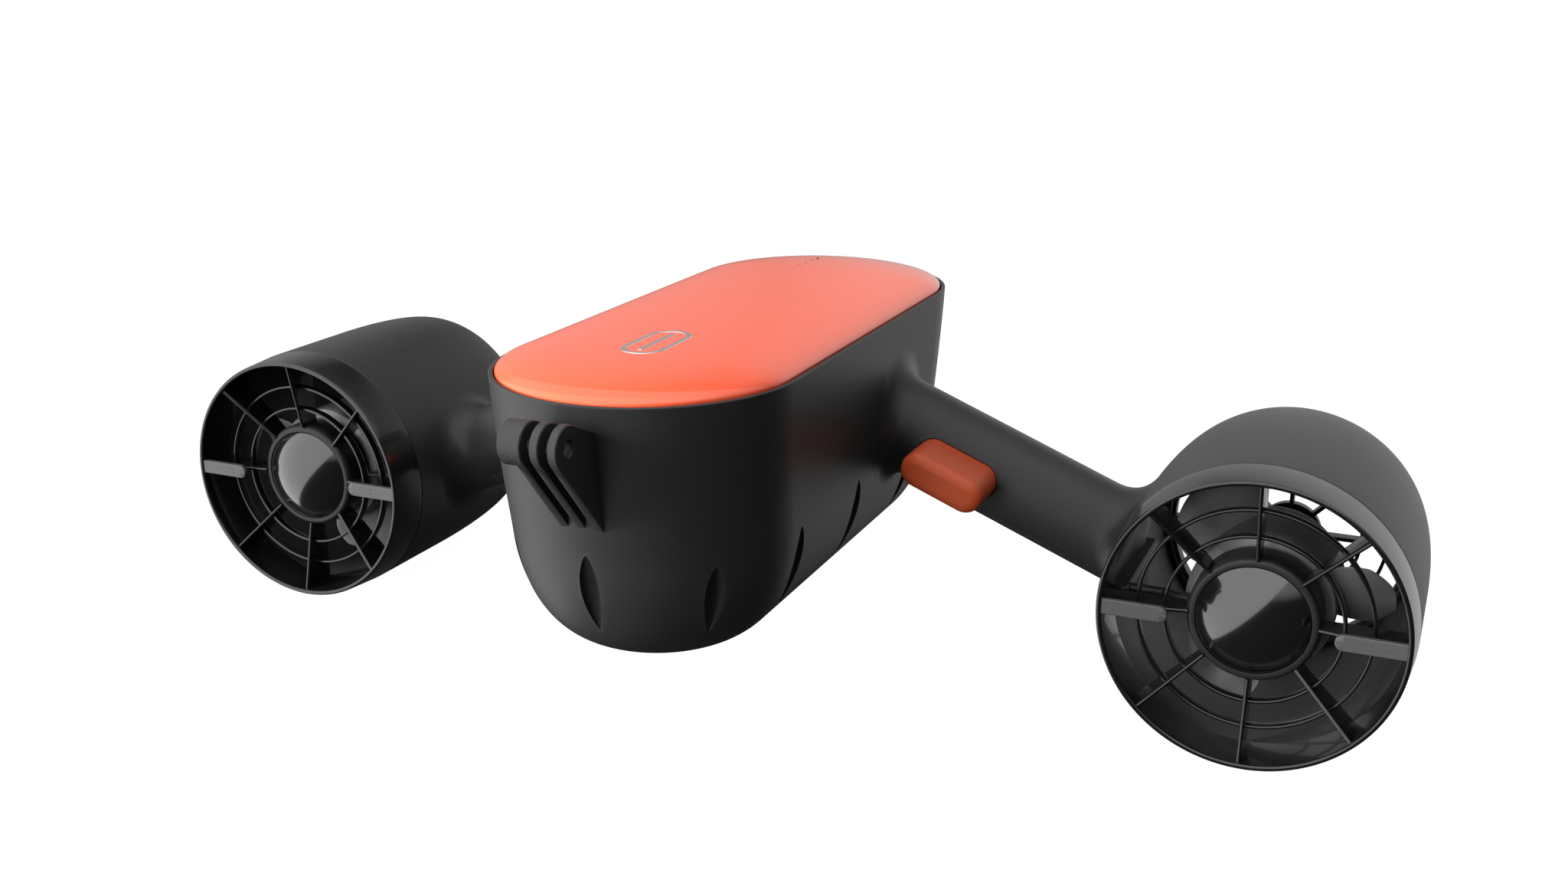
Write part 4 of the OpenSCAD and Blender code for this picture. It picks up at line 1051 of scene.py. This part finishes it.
class SCOOTER_OT_battery_cap(bpy.types.Operator):
    """Battery cap: rounded disc with a recess and a grip bar, its plug and three lugs, in a collar"""
    bl_idname = "scooter.battery_cap"
    bl_label = "Battery cap"

    def execute(self, context):
        profile = rounded([(0, 142.0), (21.0, 142.0), (21.0, 152.2), (30.5, 152.2), (30.5, 148.2),
                           (25.6, 148.2), (25.6, 136.3), (23.6, 136.3), (23.6, 133.7), (25.6, 133.7),
                           (25.6, 130.0), (0, 130.0)],
                          [0, 1.2, 0.7, 1.3, 0.3, 0.1, 0.1, 0.1, 0.1, 0.1, 0.5, 0], 6, False)
        shapes = [revolve(profile, 160, False)]
        t = np.linspace(0, 1, 30)
        arch = np.stack([21.3 * (2 * t - 1), 151.9 - 1.2 * (2 * t - 1) ** 2], -1)
        half = 4.5
        side_z = np.array([-half - 0.6, -half, -half + 0.9, half - 0.9, half, half + 0.6])
        top = np.array([-9.5, -0.9, 0.0, 0.0, -0.9, -9.5])
        grid = np.stack(np.broadcast_arrays(arch[:, :1], arch[:, 1:] + top, side_z), -1)
        shapes.append(capped(grid.transpose(1, 0, 2)))
        lug = block((-6, 140.0, 25.0), (6, 143.0, 28.0), 0.3)
        shapes += [turned(lug, k * 2 * math.pi / 3) for k in (1, 2, 3)]
        mesh_piece("battery_cap_grip", shapes, "shell", body="battery_cap",
                   replaces=["battery_cap"], transform=lambda p: p + (0, 0, BATTERY_Z))
        return {"FINISHED"}


# ---------- finishes of the frame's own pieces ----------

class SCOOTER_OT_frame_finishes(bpy.types.Operator):
    """Gives each piece of the frame that stays the material of its slot"""
    bl_idname = "scooter.frame_finishes"
    bl_label = "Frame finishes"

    def execute(self, context):
        slots = {p["node"]: p["material_slot"] for p in frame["record"]["subparts"]}
        for name, node in frame["nodes"].items():
            material = MATERIALS[slots[name]]
            node.data.materials.clear()
            node.data.materials.append(material)
        return {"FINISHED"}


# ---------- stage ----------

# Camera: place, its turn about Z, lift and roll in degrees, and focal length in millimetres
CAMERA_AT = (0.2501, -0.5242, 0.2654)
CAMERA_TURN = (23.62, 17.12, 0.13)
CAMERA_LENS = 37.71
# Area lights: name, place, the point each faces, side and power in watts
LIGHTS = (("top", (0.0, 0.1, 1.6), (0, 0.05, 0.05), 1.4, 9.0),
          ("key", (-1.5, -1.3, 0.7), (0, 0, 0.05), 0.7, 64.0),
          ("front", (-0.5, -2.2, 0.3), (0, 0, 0.05), 0.8, 22.0))
FLOOR_REACH, FLOOR_Z = 40.0, -0.0005


def area_light(name, at, to, side, power):
    """A square light that faces a point and doesn't show in reflections."""
    data = bpy.data.lights.new(name, "AREA")
    data.shape = "RECTANGLE"
    data.size = data.size_y = side
    data.energy = power
    data.spread = math.radians(160.0)
    light = bpy.data.objects.new(name, data)
    look = (Vector(to) - Vector(at)).to_track_quat("-Z", "Y").to_matrix().to_4x4()
    light.matrix_world = Matrix.Translation(at) @ look
    light.visible_glossy = False
    bpy.context.scene.collection.objects.link(light)


def studio_world():
    """White surroundings where the camera sees them. What lights the object is bright on the upper
    left, paler high up in front and behind, and dark elsewhere: each part is a ramp of how nearly a
    ray points one way, or the product of two, and the brightest part counts. The parts on the upper
    left and in front count half in diffuse light."""
    world = bpy.data.worlds.new("studio")
    world.use_nodes = True
    nodes, links = world.node_tree.nodes, world.node_tree.links
    way = nodes.new("ShaderNodeTexCoord").outputs["Generated"]

    def facing(direction, start, stop, strength):
        dot = nodes.new("ShaderNodeVectorMath")
        dot.operation = "DOT_PRODUCT"
        dot.inputs[1].default_value = direction
        links.new(way, dot.inputs[0])
        return spread(nodes, links, dot.outputs["Value"], 0.0, strength, start, stop)

    def product(one, two):
        return maths(nodes, links, "MULTIPLY", one, two)

    rays = nodes.new("ShaderNodeLightPath").outputs
    gloss = spread(nodes, links, rays["Is Glossy Ray"], 0.5, 1.0, 0.0, 1.0)
    left = product(facing((-0.74, 0.0, 0.67), -0.02, 0.03, 1.7),
                   facing((0.0, -1.0, 0.0), -0.45, 0.0, 1.0))
    ceiling = product(facing((0.0, -1.0, 0.0), -0.62, -0.58, 0.8),
                      facing((0.0, 0.0, 1.0), 0.3, 0.5, 1.0))
    behind = facing((0.2, 0.97, 0.1), 0.72, 0.95, 0.85)
    behind_left = facing((-0.60, 0.76, 0.25), 0.86, 0.99, 0.4)
    light = 0.04
    for part in (behind, behind_left, product(left, gloss), product(ceiling, gloss)):
        light = maths(nodes, links, "MAXIMUM", part, light)
    lit, seen = nodes["Background"], nodes.new("ShaderNodeBackground")
    links.new(light, lit.inputs["Strength"])
    for node in (lit, seen):
        node.inputs["Color"].default_value = (1, 1, 1, 1)
    both = mix_shaders(nodes, links, rays["Is Camera Ray"], lit.outputs[0], seen.outputs[0])
    links.new(both, nodes["World Output"].inputs["Surface"])
    return world


def floor_material():
    """Pale matte floor that glows evenly, so that it stays as white as its surroundings."""
    material, nodes, links, shader, coords = nodes_of("floor_pale")
    pale = tuple(colours().floor)
    tone = mix_colours(nodes, links, noise(nodes, links, coords, 3.0), shade(pale, 0.99), pale)
    links.new(tone, shader.inputs["Base Color"])
    shader.inputs["Roughness"].default_value = 0.9
    shader.inputs["Specular IOR Level"].default_value = 0.0
    glow = nodes.new("ShaderNodeEmission")
    glow.inputs["Strength"].default_value = 1.1
    seen = nodes.new("ShaderNodeLightPath").outputs["Is Camera Ray"]
    share = maths(nodes, links, "MULTIPLY", seen, 0.9)
    both = mix_shaders(nodes, links, share, shader.outputs[0], glow.outputs[0])
    links.new(both, nodes["Material Output"].inputs["Surface"])
    return material


class SCOOTER_OT_stage(bpy.types.Operator):
    """Pale floor, soft studio lights, white surroundings and the camera"""
    bl_idname = "scooter.stage"
    bl_label = "Stage"

    def execute(self, context):
        scene = context.scene
        mesh = bpy.data.meshes.new("floor")
        corners = [(x * FLOOR_REACH, y * FLOOR_REACH, FLOOR_Z)
                   for x, y in ((-1, -1), (1, -1), (1, 1), (-1, 1))]
        mesh.from_pydata(corners, [], [(0, 1, 2, 3)])
        mesh.materials.append(floor_material())
        floor = bpy.data.objects.new("floor", mesh)
        scene.collection.objects.link(floor)
        floor.visible_glossy = False
        floor.visible_diffuse = False

        for light in LIGHTS:
            area_light(*light)
        scene.world = studio_world()
        scene.view_settings.view_transform = "Standard"

        turn, lift, roll = (math.radians(v) for v in CAMERA_TURN)
        level = math.cos(lift)
        back_way = Vector((math.sin(turn) * level, -math.cos(turn) * level, math.sin(lift)))
        data = bpy.data.cameras.new("camera")
        data.sensor_width = 36.0
        data.lens = CAMERA_LENS
        data.clip_start, data.clip_end = 0.01, 50.0
        camera = bpy.data.objects.new("camera", data)
        scene.collection.objects.link(camera)
        look = back_way.to_track_quat("Z", "Y").to_matrix().to_4x4()
        camera.matrix_world = Matrix.Translation(CAMERA_AT) @ look @ Matrix.Rotation(-roll, 4, "Z")
        scene.camera = camera
        return {"FINISHED"}


# ---------- add-on ----------

STEPS = (SCOOTER_OT_hull, SCOOTER_OT_cover, SCOOTER_OT_emblem, SCOOTER_OT_lights,
         SCOOTER_OT_camera_mount, SCOOTER_OT_handles, SCOOTER_OT_triggers,
         SCOOTER_OT_trigger_springs, SCOOTER_OT_ducts, SCOOTER_OT_front_guards,
         SCOOTER_OT_nose_domes, SCOOTER_OT_rear_guards, SCOOTER_OT_propellers,
         SCOOTER_OT_battery_cap, SCOOTER_OT_frame_finishes, SCOOTER_OT_stage)


class SCOOTER_PT_panel(bpy.types.Panel):
    """Lists the scooter's pieces and their sizes and colours"""
    bl_idname = "SCOOTER_PT_panel"
    bl_label = "Underwater scooter"
    bl_space_type = "VIEW_3D"
    bl_region_type = "UI"
    bl_category = "Scooter"

    def draw(self, context):
        for group in (context.scene.scooter_sizes, context.scene.scooter_colours):
            box = self.layout.box()
            for name in group.__annotations__:
                box.prop(group, name)
        for step in STEPS:
            self.layout.operator(step.bl_idname)


CLASSES = (ScooterSizes, ScooterColours, *STEPS, SCOOTER_PT_panel)


def register():
    for cls in CLASSES:
        bpy.utils.register_class(cls)
    bpy.types.Scene.scooter_sizes = PointerProperty(type=ScooterSizes)
    bpy.types.Scene.scooter_colours = PointerProperty(type=ScooterColours)


def unregister():
    del bpy.types.Scene.scooter_sizes
    del bpy.types.Scene.scooter_colours
    for cls in reversed(CLASSES):
        bpy.utils.unregister_class(cls)


def main():
    register()
    MATERIALS.update(make_materials())
    for step in STEPS:
        group, name = step.bl_idname.split(".")
        if getattr(getattr(bpy.ops, group), name)() != {"FINISHED"}:
            raise RuntimeError(f"{step.bl_label} was not finished")


if __name__ == "__main__":
    main()
